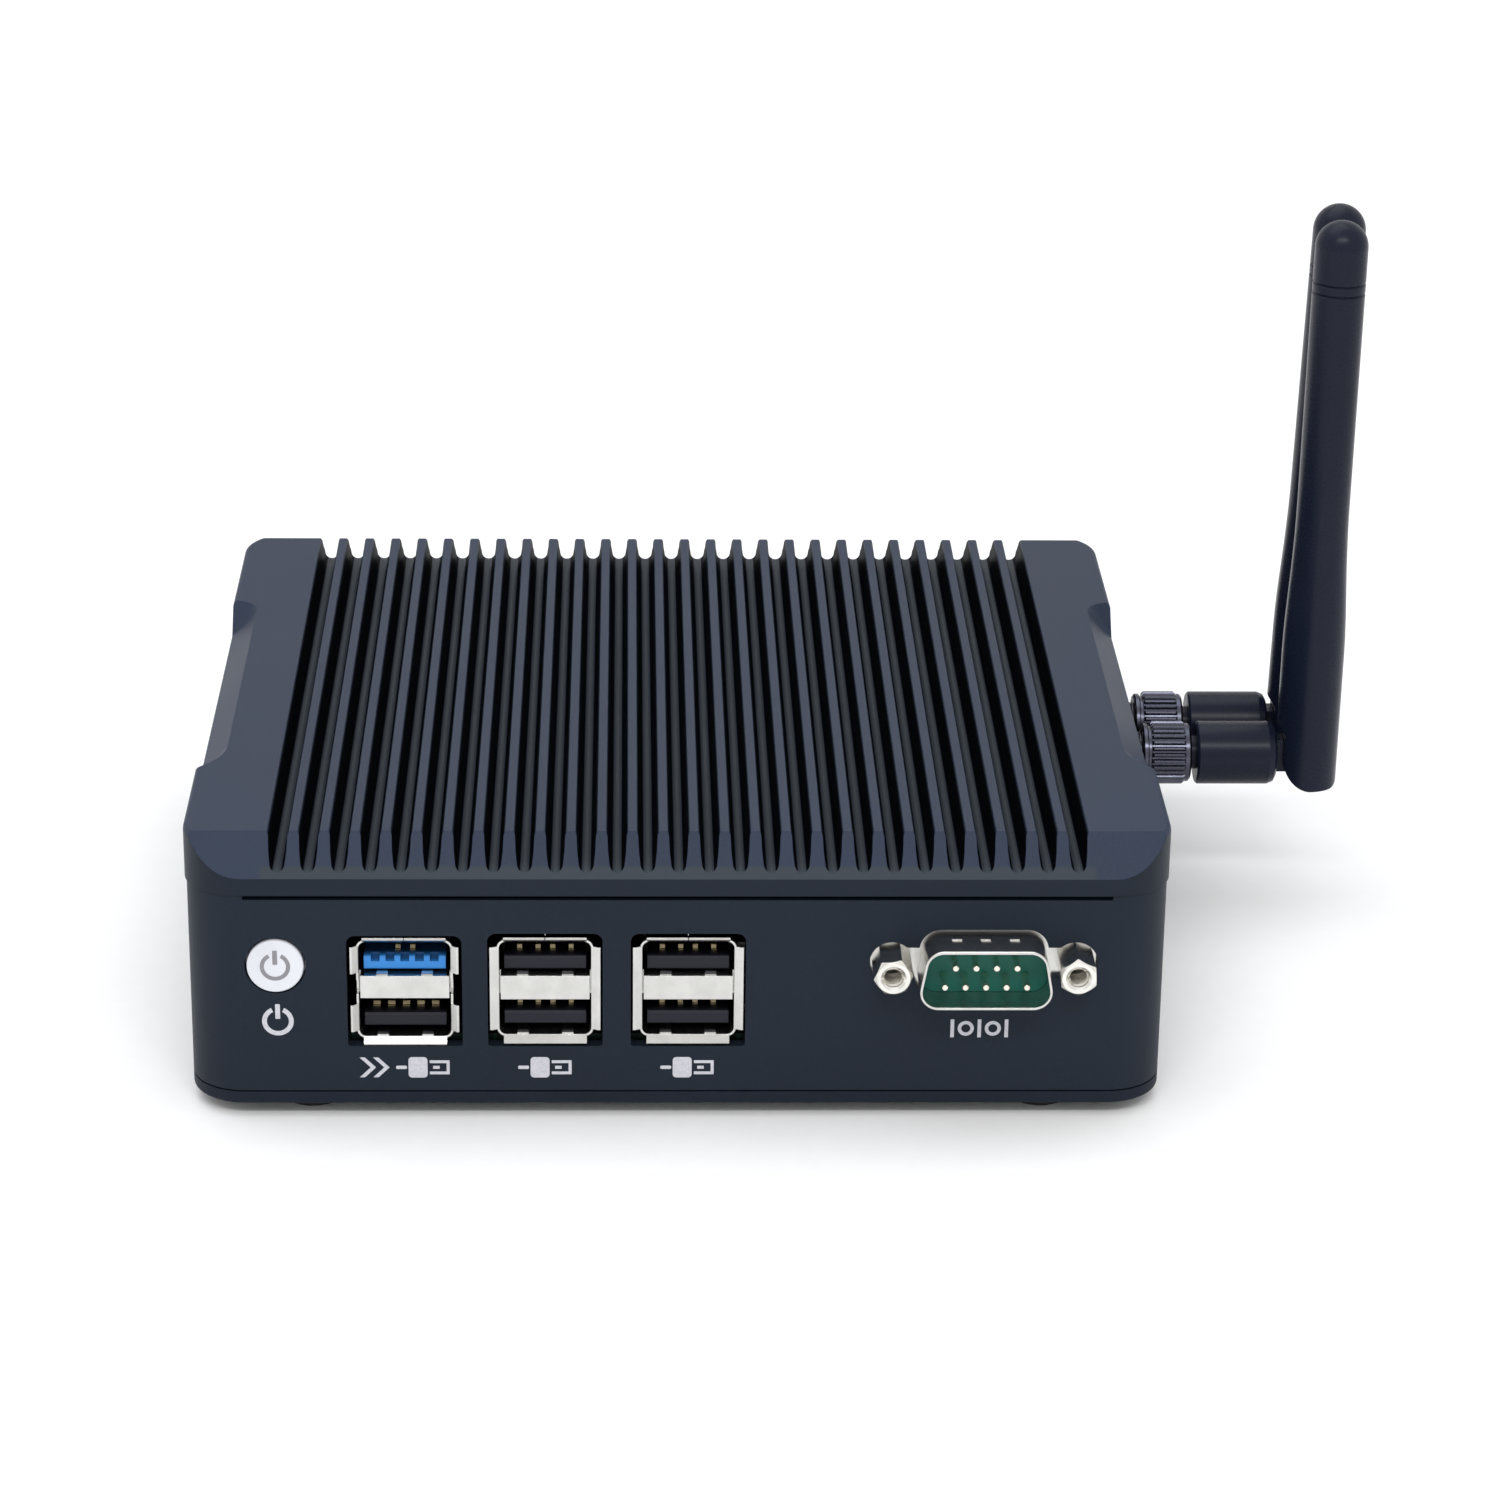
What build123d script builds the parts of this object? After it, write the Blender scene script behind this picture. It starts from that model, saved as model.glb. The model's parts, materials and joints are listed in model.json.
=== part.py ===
"""A fanless mini computer: finned lid, ring frame with ports, bottom cover, mainboard and two antennas.

Millimetres. X runs to the right, Y to the back and Z up. The origin is the middle of the case's
footprint, on the underside of the bottom cover; the rubber feet reach below it.
"""
from build123d import *
import math
import os

os.makedirs("parts", exist_ok=True)

# --- case -----------------------------------------------------------------------------------------
WIDTH = 134.0                 # lid, side to side
DEPTH = 124.0                 # lid, front to back
CORNER = 8.0                  # corner radius of the lid seen from above
LID_TOP = 38.9
LID_BOTTOM = 31.3
SLIT = 0.7                    # dark gap between lid and frame
SLIT_DEEP = 1.4
FRAME_BOTTOM = 2.1
INSET = 0.25                  # the frame stands back from the lid by this much all round
WALL = 2.0
COVER_SHEET = 1.6
SEAM = 0.25                   # groove between frame and bottom cover
SEAM_DEEP = 1.2

FRONT = -DEPTH / 2            # front face of the lid
FRAME_FRONT = FRONT + INSET
FRAME_REAR = -FRAME_FRONT
FRAME_SIDE = WIDTH / 2 - INSET
WALL_IN_FRONT = FRAME_FRONT + WALL
WALL_IN_REAR = -WALL_IN_FRONT

# --- heatsink lid ---------------------------------------------------------------------------------
FRONT_CHAMFER_HIGH = 5.1
FRONT_CHAMFER_DEEP = 4.63
REAR_CHAMFER = 3.0
SIDE_ROUND = 0.8
SLOT_COUNT = 27
SLOT_PITCH = 4.15
SLOT_DEEP = 4.4
SLOT_HALF_WIDTHS = [(1.5, 0.0), (1.3, 0.5), (1.2, 2.2), (1.0, 3.6)]   # half width at each depth
SCALLOP_IN = 3.9              # finger recess in each side edge: inwards, down, and where it ends
SCALLOP_DOWN = 4.4
SCALLOP_REAR = FRONT + 93.0
SCALLOP_FRONT = FRONT + 34.9
SCALLOP_RUNOUT = 11.0         # radius of the recess's front end, seen from above, and of its rear end
SCALLOP_REAR_RUNOUT = 4.2
LID_POCKET = 1.15             # skirt thickness around the hollow underside
LID_CEILING = 32.3
RIB_TOP = 32.1                # locating rib of the frame inside the lid's skirt

# --- screws that hold the three shells together -----------------------------------------------------
CASE_SCREW = [(x, y) for x in (-60.4, 60.4) for y in (-46.0, 46.0)]
POST_R = 4.0
M3_R = 1.5
M3_CLEAR_R = 1.7
M3_THREAD_R = 1.45            # the screw's own radius, a little under its hole
CASE_SCREW_TOP = 34.0
CASE_HOLE_TOP = 34.6
COUNTERSINK_R = 3.0

# --- feet and the fixing pattern below ---------------------------------------------------------------
FOOT_R = 4.5
FOOT_HIGH = 2.0
FOOT_POCKET = 0.3
FEET = [(x, y) for x in (-50.2, 50.2) for y in (-54.2, 54.2)]
FIXING = [(x, y) for x in (-37.5, 37.5) for y in (-37.5, 37.5)]
FIXING_BOSS_R = 3.2
FIXING_BOSS_TOP = 4.0

# --- mainboard ------------------------------------------------------------------------------------
BOARD_TOP = 9.3
BOARD_THICK = 1.6
BOARD_BOTTOM = BOARD_TOP - BOARD_THICK
BOARD_HALF_X = 63.2
BOARD_HALF_Y = 58.8
BOARD_NOTCH = 10.0
BOARD_CORNER = 3.0
BOARD_SCREWS = [(x, y) for x in (-60.2, 60.2) for y in (-30.0, 30.0)]

# --- power button ---------------------------------------------------------------------------------
BUTTON_X = -54.5
BUTTON_Z = 20.9
BUTTON_R = 3.85
BUTTON_HOLE_R = 4.15
BUTTON_PROUD = 0.35
BUTTON_FLANGE_R = 4.9
SWITCH_FACE = -55.6           # front face of the switch's body
SWITCH_BOARD_Y = -52.1

# --- front ports ----------------------------------------------------------------------------------
USB_OUT_W = 13.1
USB_SHEET = 0.3
USB_CORNER = 1.3
USB_DEEP = 17.0
USB_LIP = 1.08                # flared lips at the sides and below
USB_TOP_LIP = 0.9             # the lip above, and how far it is bent outwards in degrees
USB_TOP_LIP_BEND = 39.0
BAR_GAP = 0.22                # gap between the ends of the spacer bar and the side walls
FOLD_SEAM = 0.12              # seam of the folded sheet, in the middle of the top wall
TONGUE_W = 11.1
CUTOUT_W = 15.6
CUTOUT_LOW = 8.75
CUTOUT_TOP_R = 1.2
CUTOUT_LOW_R = 0.5
USB_CONTACT_X = [-3.5, -1.0, 1.0, 3.5]
FAST_CONTACT_X = [-4.0, -2.0, 0.0, 2.0, 4.0]

SERIAL_X = 41.45
SERIAL_Z = 21.4
SERIAL_W = 18.9               # D-shaped shell: widest outside width and height
SERIAL_H = 8.7
SERIAL_PROUD = 6.0
SERIAL_SHEET = 0.4
SERIAL_FLANGE = (30.8, 12.5)
SERIAL_FLANGE_Y = FRAME_FRONT + 1.0
JACKSCREW_SPACING = 24.99
JACKSCREW_FLATS = 4.75
JACKSCREW_PROUD = 5.2
JACKSCREW_HOLE_R = 1.42
PIN_PITCH = 2.77
PIN_ROWS = 2.84

# --- rear ports -----------------------------------------------------------------------------------
INLET_X = 48.0
INLET_Z = 14.8
VGA_X = 26.0
VGA_Z = 15.8
HDMI_X = 1.5
HDMI_Z = 12.6
LAN_X = [-16.0, -33.5]
LAN_W = 15.9
LAN_H = 13.4
LAN_HOLE = (11.8, 8.4)
AUDIO_X = -47.6
AUDIO_Z = [13.4, 22.0]
AUDIO_BORE_R = 1.8

# --- antennas -------------------------------------------------------------------------------------
ANTENNA_Z = 22.0
ANTENNAS = {                  # name: (distance back, lean about X, lean about Y) at rest
    "front": (11.8, -1.1, 0.6),
    "rear": (23.8, 1.1, 1.3),
}
JACK_IN = 62.4                # inner end of each jack
JACK_OUT = 75.2
JACK_R = 3.1
JACK_BORE_R = 2.35
WASHER_THICK = 0.5
LOCKNUT_THICK = 2.1
LOCKNUT_FLATS = 8.0
LOCKNUT_TURNS = (5, 22)       # how far round each lock nut was left, in degrees
KNURL_RIDGES = 30
NUT_OUT_R = 4.75
NUT_X = (70.4, 77.7)
STEM_R = 2.5
COLLAR_R = 3.5                # collar of the sleeve's stem, captured inside the nut
PLUG_IN = 71.6                # inner end of the sleeve's plug, inside the jack
RUNNING = 0.06                # radial clearance of the turning fits
SLEEVE_X = (78.6, 90.6)
SLEEVE_R = 4.75
PIVOT_X = 95.45
TANG_THICK = 3.2
TANG_R = 2.5
HINGE_PIN_R = 1.0
BLADE_LOW_R = 4.65
FOOT_FLAT = 3.7               # flat on the foot's inner side, this far from the hinge's axis
FOOT_FLAT_TOP = 3.6
PIN_BORE_FRONT = 3.9          # the pin's bore is blind towards the front
BLADE_HIGH_R = 3.87
BLADE_LONG = 82.4             # hinge to tip
SHOULDER = (16.0, 39.0)       # heights above the hinge where the blade narrows
GROOVES = [71.8, 73.3]        # heights of the two ring grooves above the hinge
CABLE_R = 0.65


# --- helpers --------------------------------------------------------------------------------------
def block(x, y, z, radius=0.0):
    """A box between the given limits, with its upright edges rounded."""
    size = (x[1] - x[0], y[1] - y[0])
    sketch = RectangleRounded(*size, radius) if radius else Rectangle(*size)
    return extrude(Pos((x[0] + x[1]) / 2, (y[0] + y[1]) / 2, z[0]) * sketch, amount=z[1] - z[0])


def rod_x(x, y, z, r):
    return Pos((x[0] + x[1]) / 2, y, z) * Rot(0, 90, 0) * Cylinder(r, x[1] - x[0])


def rod_y(x, y, z, r):
    return Pos(x, (y[0] + y[1]) / 2, z) * Rot(90, 0, 0) * Cylinder(r, y[1] - y[0])


def rod_z(x, y, z, r):
    return Pos(x, y, (z[0] + z[1]) / 2) * Cylinder(r, z[1] - z[0])


def hex_x(x, y, z, flats, turn=0.0):
    sketch = RegularPolygon(flats / 2, 6, major_radius=False, rotation=turn)
    return extrude(Pos(x[0], y, z) * Rot(0, 90, 0) * sketch, amount=x[1] - x[0])


def along_y(sketch, y):
    """Extrude a sketch drawn in X and Z towards the back, between two depths."""
    return extrude(Pos(0, y[1], 0) * Rot(90, 0, 0) * sketch, amount=y[1] - y[0])


def outline(inset, z, corner=CORNER):
    """The case's rounded outline, moved inwards by inset and extruded between two heights."""
    sketch = RectangleRounded(WIDTH - 2 * inset, DEPTH - 2 * inset, corner - inset)
    return extrude(Pos(0, 0, z[0]) * sketch, amount=z[1] - z[0])


def joined(pieces):
    result = pieces[0]
    for piece in pieces[1:]:
        result = result + piece
    return result


def save(name, *pieces):
    """Write one node. Several pieces stay separate solids of one group."""
    solids = [solid for piece in pieces for solid in piece.solids()]
    export_step(solids[0] if len(solids) == 1 else Compound(children=solids), f"parts/{name}.step")


# --- case -----------------------------------------------------------------------------------------
def slot_sketch(x):
    """One fin slot in X and Z: tapering sides and a round floor."""
    side = [(x + half, LID_TOP - deep) for half, deep in SLOT_HALF_WIDTHS]
    other = [(x - half, LID_TOP - deep) for half, deep in reversed(SLOT_HALF_WIDTHS)]
    above = 1.0
    floor = ThreePointArc(side[-1], (x, LID_TOP - SLOT_DEEP), other[0])
    mouth = [(other[-1][0], LID_TOP + above), (side[0][0], LID_TOP + above)]
    rest = Polyline(*other, *mouth, *side)
    return make_face([floor, rest])


def scallop():
    """The finger recess cut from the right-hand side edge: a sloping bevel with curved ends."""
    x_top = WIDTH / 2 - SCALLOP_IN
    over = 4.0
    slope = SCALLOP_IN / SCALLOP_DOWN
    section = make_face(Polyline(
        (x_top - over * slope, LID_TOP + over), (x_top, LID_TOP), (WIDTH / 2, LID_TOP - SCALLOP_DOWN),
        (WIDTH / 2 + over, LID_TOP - SCALLOP_DOWN), (WIDTH / 2 + over, LID_TOP + over), close=True))
    rear = SCALLOP_REAR - SCALLOP_REAR_RUNOUT
    recess = along_y(section, (SCALLOP_FRONT, rear))
    tall = SCALLOP_DOWN + over
    past = 20.0
    for radius, y, reach in ((SCALLOP_RUNOUT, SCALLOP_FRONT, (SCALLOP_FRONT - past, SCALLOP_FRONT)),
                             (SCALLOP_REAR_RUNOUT, rear, (rear, rear + past))):
        cone = Cone(radius - SCALLOP_IN, radius + over * slope, tall)
        cone = Pos(x_top + radius, y, LID_TOP + over - tall / 2) * cone
        recess = recess + (cone & block((0, WIDTH), reach, (0, LID_TOP + over)))
    return recess


def side_post(x, y, r, z):
    """A screw post grown out of the nearer side wall."""
    wall = math.copysign(WIDTH / 2 + 1, x)
    return rod_z(x, y, z, r) + block(sorted((x, wall)), (y - r, y + r), z)


def heatsink_lid():
    body = outline(0, (LID_BOTTOM, LID_TOP))
    top_sides = [e for e in body.edges().filter_by(Axis.Y) if e.center().Z > LID_TOP - 0.1]
    top_arcs = [e for e in body.edges().filter_by(GeomType.CIRCLE) if e.center().Z > LID_TOP - 0.1]
    body = fillet(top_sides + top_arcs, SIDE_ROUND)
    far = 40.0
    rise = FRONT_CHAMFER_HIGH / FRONT_CHAMFER_DEEP
    x_cut = (WIDTH / 2 + 5)
    for y_edge, z_edge, inward, slope in (
            (FRONT, LID_TOP - FRONT_CHAMFER_HIGH, 1, rise), (-FRONT, LID_TOP - REAR_CHAMFER, -1, 1.0)):
        corner = (y_edge - inward * far, z_edge - far * slope)
        peak = (y_edge + inward * far, z_edge + far * slope)
        wedge = make_face(Polyline(corner, peak, (corner[0], peak[1]), close=True))
        body = body - extrude(Pos(-x_cut, 0, 0) * Rot(0, 90, 0) * Rot(0, 0, 90) * wedge, amount=2 * x_cut)
    recess = scallop()
    body = body - recess - mirror(recess, about=Plane.YZ)
    first = -(SLOT_COUNT - 1) / 2 * SLOT_PITCH
    over = 5.0
    slots = [along_y(slot_sketch(first + i * SLOT_PITCH), (FRONT - over, -FRONT + over))
             for i in range(SLOT_COUNT)]
    body = body - slots
    pocket = outline(LID_POCKET, (LID_BOTTOM - 1, LID_CEILING))
    for x, y in CASE_SCREW:
        pocket = pocket - side_post(x, y, POST_R + 1.2, (LID_BOTTOM - 2, LID_CEILING + 1))
    body = body - pocket
    for x, y in CASE_SCREW:
        body = body - rod_z(x, y, (LID_BOTTOM - 1, CASE_HOLE_TOP), M3_R)
    for x, y in HEAT_SCREWS:
        body = body - rod_z(x, y, (LID_BOTTOM, LID_CEILING + HEAT_SCREW_IN + 0.2), M3_R)
    return body


def serial_cutout():
    """Panel opening for the serial port: the D, the two screws and the bridges between them."""
    y = (FRAME_FRONT - 1, WALL_IN_FRONT + 1)
    half = JACKSCREW_SPACING / 2
    cut = along_y(Pos(SERIAL_X, SERIAL_Z) * d_sketch(SERIAL_W + 1.1, SERIAL_H + 1.0, 3.0), y)
    bridge = 4.4
    cut = cut + block((SERIAL_X - half, SERIAL_X + half), y, (SERIAL_Z - bridge / 2, SERIAL_Z + bridge / 2))
    for x in (SERIAL_X - half, SERIAL_X + half):
        cut = cut + rod_y(x, y, SERIAL_Z, 3.0)
    return cut


def main_frame():
    top = LID_BOTTOM
    body = outline(INSET, (FRAME_BOTTOM, top)) - outline(INSET + WALL, (0, top + 1))
    long_x = WIDTH / 2 - CORNER - 0.3
    long_y = DEPTH / 2 - CORNER - 0.3
    for sign in (-1, 1):
        y = sorted((sign * (FRAME_REAR + 1), sign * (FRAME_REAR - SLIT_DEEP)))
        x = sorted((sign * (FRAME_SIDE + 1), sign * (FRAME_SIDE - SLIT_DEEP)))
        body = body - block((-long_x, long_x), y, (top - SLIT, top + 1))
        body = body - block(x, (-long_y, long_y), (top - SLIT, top + 1))
    rib = outline(INSET + SLIT_DEEP, (top - SLIT, RIB_TOP)) - outline(INSET + WALL, (0, RIB_TOP + 1))
    short_x = 50.0
    short_y = 38.0
    keep = block((-short_x, short_x), (-DEPTH, DEPTH), (0, LID_TOP))
    keep = keep + block((-WIDTH, WIDTH), (-short_y, short_y), (0, LID_TOP))
    body = body + (rib & keep)
    for x, y in CASE_SCREW:
        inside = outline(INSET + SLIT_DEEP, (FRAME_BOTTOM, top))
        body = body + (side_post(x, y, POST_R, (FRAME_BOTTOM, top)) & inside)
    for x, y in CASE_SCREW:
        body = body - rod_z(x, y, (0, top + 1), M3_CLEAR_R)
    through = (FRAME_FRONT - 1, WALL_IN_FRONT + 1)
    body = body - rod_y(BUTTON_X, through, BUTTON_Z, BUTTON_HOLE_R)
    for stack in USB_STACKS.values():
        high = stack["cutout_top"] - CUTOUT_LOW
        window = Rectangle(CUTOUT_W, high)
        window = fillet(window.vertices().group_by(Axis.Y)[-1], CUTOUT_TOP_R)
        window = fillet(window.vertices().group_by(Axis.Y)[0], CUTOUT_LOW_R)
        body = body - along_y(Pos(stack["x"], CUTOUT_LOW + high / 2) * window, through)
    body = body - serial_cutout()
    flange_w, flange_h = SERIAL_FLANGE
    room = 0.4
    recess_x = (SERIAL_X - flange_w / 2 - room, SERIAL_X + flange_w / 2 + room)
    recess_z = (SERIAL_Z - flange_h / 2 - room, SERIAL_Z + flange_h / 2 + room)
    body = body - block(recess_x, (SERIAL_FLANGE_Y, WALL_IN_FRONT + 1), recess_z)
    return body - rear_cutouts() - antenna_holes()


def rear_cutouts():
    """All openings of the rear wall, as one cutter."""
    y = (WALL_IN_REAR - 1, FRAME_REAR + 1)
    cuts = [rod_y(INLET_X, y, INLET_Z, 4.2)]
    cuts.append(along_y(Pos(VGA_X, VGA_Z) * d_sketch(SERIAL_W + 1.1, SERIAL_H + 1.0, 3.0, flip=True), y))
    half = JACKSCREW_SPACING / 2
    cuts += [rod_y(VGA_X + x, y, VGA_Z, 3.0) for x in (-half, half)]
    cuts.append(along_y(Pos(HDMI_X, HDMI_Z) * RectangleRounded(16.2, 6.8, 1.2), y))
    room = 0.3
    for x in LAN_X:
        cuts.append(block((x - LAN_W / 2 - room, x + LAN_W / 2 + room), y,
                          (BOARD_TOP + 0.1, BOARD_TOP + 0.4 + LAN_H + room)))
    cuts += [rod_y(AUDIO_X, y, z, 3.3) for z in AUDIO_Z]
    flange_w, flange_h = SERIAL_FLANGE
    cuts.append(block((VGA_X - flange_w / 2 - room, VGA_X + flange_w / 2 + room),
                      (WALL_IN_REAR - 1, FRAME_REAR - 1.0),
                      (VGA_Z - flange_h / 2 - room, VGA_Z + flange_h / 2 + room)))
    return joined(cuts)


def antenna_holes():
    x = (FRAME_SIDE - WALL - 1, FRAME_SIDE + 1)
    return joined([rod_x(x, y, ANTENNA_Z, JACK_R + 0.1) for y, _, _ in ANTENNAS.values()])


def bottom_cover():
    edge_round = 0.5
    plate = outline(INSET, (0, FRAME_BOTTOM - SEAM))
    low = [e for e in plate.edges() if e.center().Z < 0.01]
    plate = fillet(low, edge_round)
    plate = plate + outline(INSET + SEAM_DEEP, (FRAME_BOTTOM - SEAM, FRAME_BOTTOM))
    tray = outline(INSET + WALL + 0.6, (COVER_SHEET, FRAME_BOTTOM + 1))
    for x, y in CASE_SCREW:
        tray = tray - side_post(x, y, POST_R + 0.4, (0, 10))
    plate = plate - tray
    for x, y in FIXING:
        plate = plate + rod_z(x, y, (COVER_SHEET - 0.5, FIXING_BOSS_TOP), FIXING_BOSS_R)
        plate = plate - rod_z(x, y, (-1, FIXING_BOSS_TOP + 1), M3_R)
    for x, y in CASE_SCREW:
        plate = plate - rod_z(x, y, (-1, FRAME_BOTTOM + 1), M3_CLEAR_R)
        deep = COUNTERSINK_R - M3_CLEAR_R
        plate = plate - Pos(x, y, deep / 2) * Cone(COUNTERSINK_R + 0.05, M3_CLEAR_R, deep)
    for x, y in FEET:
        plate = plate - rod_z(x, y, (-1, FOOT_POCKET), FOOT_R + 0.1)
    return plate


def rubber_feet():
    feet = []
    for x, y in FEET:
        foot = rod_z(x, y, (-FOOT_HIGH, FOOT_POCKET), FOOT_R)
        feet.append(fillet([e for e in foot.edges() if e.center().Z < 0], 0.5))
    return feet


def case_screws():
    screws = []
    for x, y in CASE_SCREW:
        deep = COUNTERSINK_R - M3_CLEAR_R
        head = Pos(x, y, deep / 2 + 0.05) * Cone(COUNTERSINK_R - 0.1, M3_THREAD_R, deep)
        screw = head + rod_z(x, y, (0.05, CASE_SCREW_TOP), M3_THREAD_R)
        for turn in (0, 90):
            screw = screw - Pos(x, y, 0) * Rot(0, 0, turn) * Box(3.2, 0.6, 1.4)
        screws.append(screw)
    return screws


# --- power button ---------------------------------------------------------------------------------
def power_button():
    face = FRAME_FRONT - BUTTON_PROUD
    back = WALL_IN_FRONT + 0.1
    cap = rod_y(BUTTON_X, (face, back), BUTTON_Z, BUTTON_R)
    cap = fillet(cap.edges().sort_by(Axis.Y)[0], 0.3)
    cap = cap + rod_y(BUTTON_X, (back, back + 1.0), BUTTON_Z, BUTTON_FLANGE_R)
    return cap + rod_y(BUTTON_X, (back + 1.0, SWITCH_FACE - 1.0), BUTTON_Z, 2.0)


def switch_plunger():
    return rod_y(BUTTON_X, (SWITCH_FACE - 1.0, SWITCH_FACE + 1.2), BUTTON_Z, 1.7)


def power_switch():
    half = 3.1
    body = block((BUTTON_X - half, BUTTON_X + half), (SWITCH_FACE, SWITCH_BOARD_Y),
                 (BUTTON_Z - half, BUTTON_Z + half))
    return body - rod_y(BUTTON_X, (SWITCH_FACE - 1, SWITCH_FACE + 2.2), BUTTON_Z, 1.8)


def switch_board():
    thick = 1.2
    return block((BUTTON_X - 5, BUTTON_X + 5), (SWITCH_BOARD_Y, SWITCH_BOARD_Y + thick),
                 (BOARD_TOP, BUTTON_Z + 4.5))


# --- front ports ----------------------------------------------------------------------------------
USB_STACKS = {
    "usb3": {"x": -37.1, "inner": (9.98, 24.08), "bar": (15.7, 19.0), "lip": 49.0, "split": True,
             "cutout_top": 25.3},
    "usb2_left": {"x": -18.05, "inner": (10.4, 24.28), "bar": (15.65, 19.15), "lip": 66.0, "split": False,
                  "cutout_top": 25.65},
    "usb2_right": {"x": 1.37, "inner": (10.4, 24.28), "bar": (15.65, 19.15), "lip": 66.0, "split": False,
                   "cutout_top": 25.65},
}
SHELL_FRONT = {name: FRAME_FRONT + USB_LIP * math.cos(math.radians(stack["lip"])) + 0.02
               for name, stack in USB_STACKS.items()}


def lip_section(at, outward, angle, length=USB_LIP):
    """Cross-section of a flared lip: (depth, across) points, starting on a wall of the shell."""
    reach = length * math.sin(math.radians(angle)) * outward
    ahead = length * math.cos(math.radians(angle))
    inner = at - outward * USB_SHEET
    return lambda front: [(front, at), (front, inner), (front - ahead, inner + reach),
                          (front - ahead * 0.85, at + reach)]


def usb_shell(name):
    """Two-storey receptacle: folded sheet box, flared lips at its mouth and a spacer bar."""
    stack = USB_STACKS[name]
    x, (z0, z1), front = stack["x"], stack["inner"], SHELL_FRONT[name]
    back = front + USB_DEEP
    half = USB_OUT_W / 2
    mid = (z0 + z1) / 2
    high = z1 - z0 + 2 * USB_SHEET
    outer = along_y(Pos(x, mid) * RectangleRounded(USB_OUT_W, high, USB_CORNER), (front, back))
    hollow = RectangleRounded(USB_OUT_W - 2 * USB_SHEET, high - 2 * USB_SHEET, USB_CORNER - USB_SHEET)
    shell = outer - along_y(Pos(x, mid) * hollow, (front - 1, back - USB_SHEET))
    bar_back = front + 8.0
    shell = shell + block((x - half + 0.1, x + half - 0.1), (front, bar_back), stack["bar"])
    shell = shell - block((x - half + 1, x + half - 1), (front + 0.6, bar_back + 1),
                          (stack["bar"][0] + 0.4, stack["bar"][1] - 0.4))
    flat = 5.65
    for outward, at, bend, length in ((1, z1 + USB_SHEET, USB_TOP_LIP_BEND, USB_TOP_LIP),
                                      (-1, z0 - USB_SHEET, stack["lip"], USB_LIP)):
        points = lip_section(at, outward, bend, length)(front)
        section = make_face(Polyline(*[(0, depth, across) for depth, across in points], close=True))
        shell = shell + extrude(Pos(x - flat, 0, 0) * section, amount=2 * flat, dir=(1, 0, 0))
    sides = [(z0 + 0.9, z0 + 4.9), (z1 - 4.5, z1 - 0.5)] if stack["split"] else [(z0 + 0.8, z1 - 0.7)]
    for outward, at in ((1, x + half), (-1, x - half)):
        points = lip_section(at, outward, stack["lip"])(front)
        section = make_face(Polyline(*[(across, depth, 0) for depth, across in points], close=True))
        for low, top in sides:
            shell = shell + extrude(Pos(0, 0, low) * section, amount=top - low, dir=(0, 0, 1))
    if stack["split"]:
        notch_z = (stack["bar"][0] + 0.6, stack["bar"][1] - 0.6)
        for side in (-1, 1):
            shell = shell - block(sorted((x + side * (half + 1), x + side * (half - USB_SHEET))),
                                  (front - 1, front + 1.0), notch_z)
    gap_y = (front - 1, front + 2.0)
    for side in (-1, 1):
        wall = x + side * (half - USB_SHEET)
        shell = shell - block(sorted((wall, wall - side * BAR_GAP)), gap_y, stack["bar"])
    return shell - block((x - FOLD_SEAM / 2, x + FOLD_SEAM / 2), gap_y, (z1 - 0.1, z1 + 2))


def usb_insulator(name, storey, notched=False):
    """Tongue of one storey with the block behind it that it grows from."""
    stack = USB_STACKS[name]
    x, front = stack["x"], SHELL_FRONT[name]
    gap = 0.02
    low, high = stack["inner"][0] + gap, stack["inner"][1] - gap
    bar_low, bar_high = stack["bar"][0] - gap, stack["bar"][1] + gap
    z = (bar_high, high) if storey == "upper" else (low, bar_low)
    tongue_low = z[0] + (0.42 if storey == "upper" else 0.95)
    tongue = (tongue_low, tongue_low + 1.95)
    half = USB_OUT_W / 2 - USB_SHEET - gap
    body = block((x - half + 0.9, x + half - 0.9), (front + 9.5, front + 15.5), z)
    blade = block((x - TONGUE_W / 2, x + TONGUE_W / 2), (front + 1.2, front + 10.0), tongue)
    blade = chamfer(blade.edges().filter_by(Axis.X).group_by(Axis.Y)[0], 0.25)
    result = body + blade
    if notched:
        for offset in FAST_CONTACT_X:
            result = result - block((x + offset - 0.6, x + offset + 0.6), (front + 0.5, front + 2.6),
                                    (tongue[1] - 0.75, tongue[1] + 1))
    return result, tongue[1]


def usb_contacts(name, tongue_tops, offsets, wide):
    """Spring contacts: a strip on each tongue with a raised bump near its front."""
    stack = USB_STACKS[name]
    contacts = []
    front = SHELL_FRONT[name]
    for top in tongue_tops:
        for offset in offsets:
            x = (stack["x"] + offset - wide / 2, stack["x"] + offset + wide / 2)
            strip = block(x, (front + 3.2, front + 5.8), (top, top + 0.2))
            points = [(3.4, 0.0), (3.8, 0.55), (4.7, 0.55), (5.6, 0.0)]
            corners = [(x[0], front + deep, top + 0.1 + up) for deep, up in points]
            bump = make_face(Polyline(*corners, close=True))
            contacts.append(strip + extrude(bump, amount=wide, dir=(1, 0, 0)))
    return contacts


def d_sketch(wide, high, corner, flip=False):
    """Rounded D outline of a port. Its long side is at the bottom, or at the top if flipped."""
    lean = high * math.tan(math.radians(10))
    low, top = wide / 2, wide / 2 - lean
    if flip:
        low, top = top, low
    corners = [(-low, -high / 2), (low, -high / 2), (top, high / 2), (-top, high / 2)]
    face = make_face(Polyline(*corners, close=True))
    return fillet(face.vertices(), corner)


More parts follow.
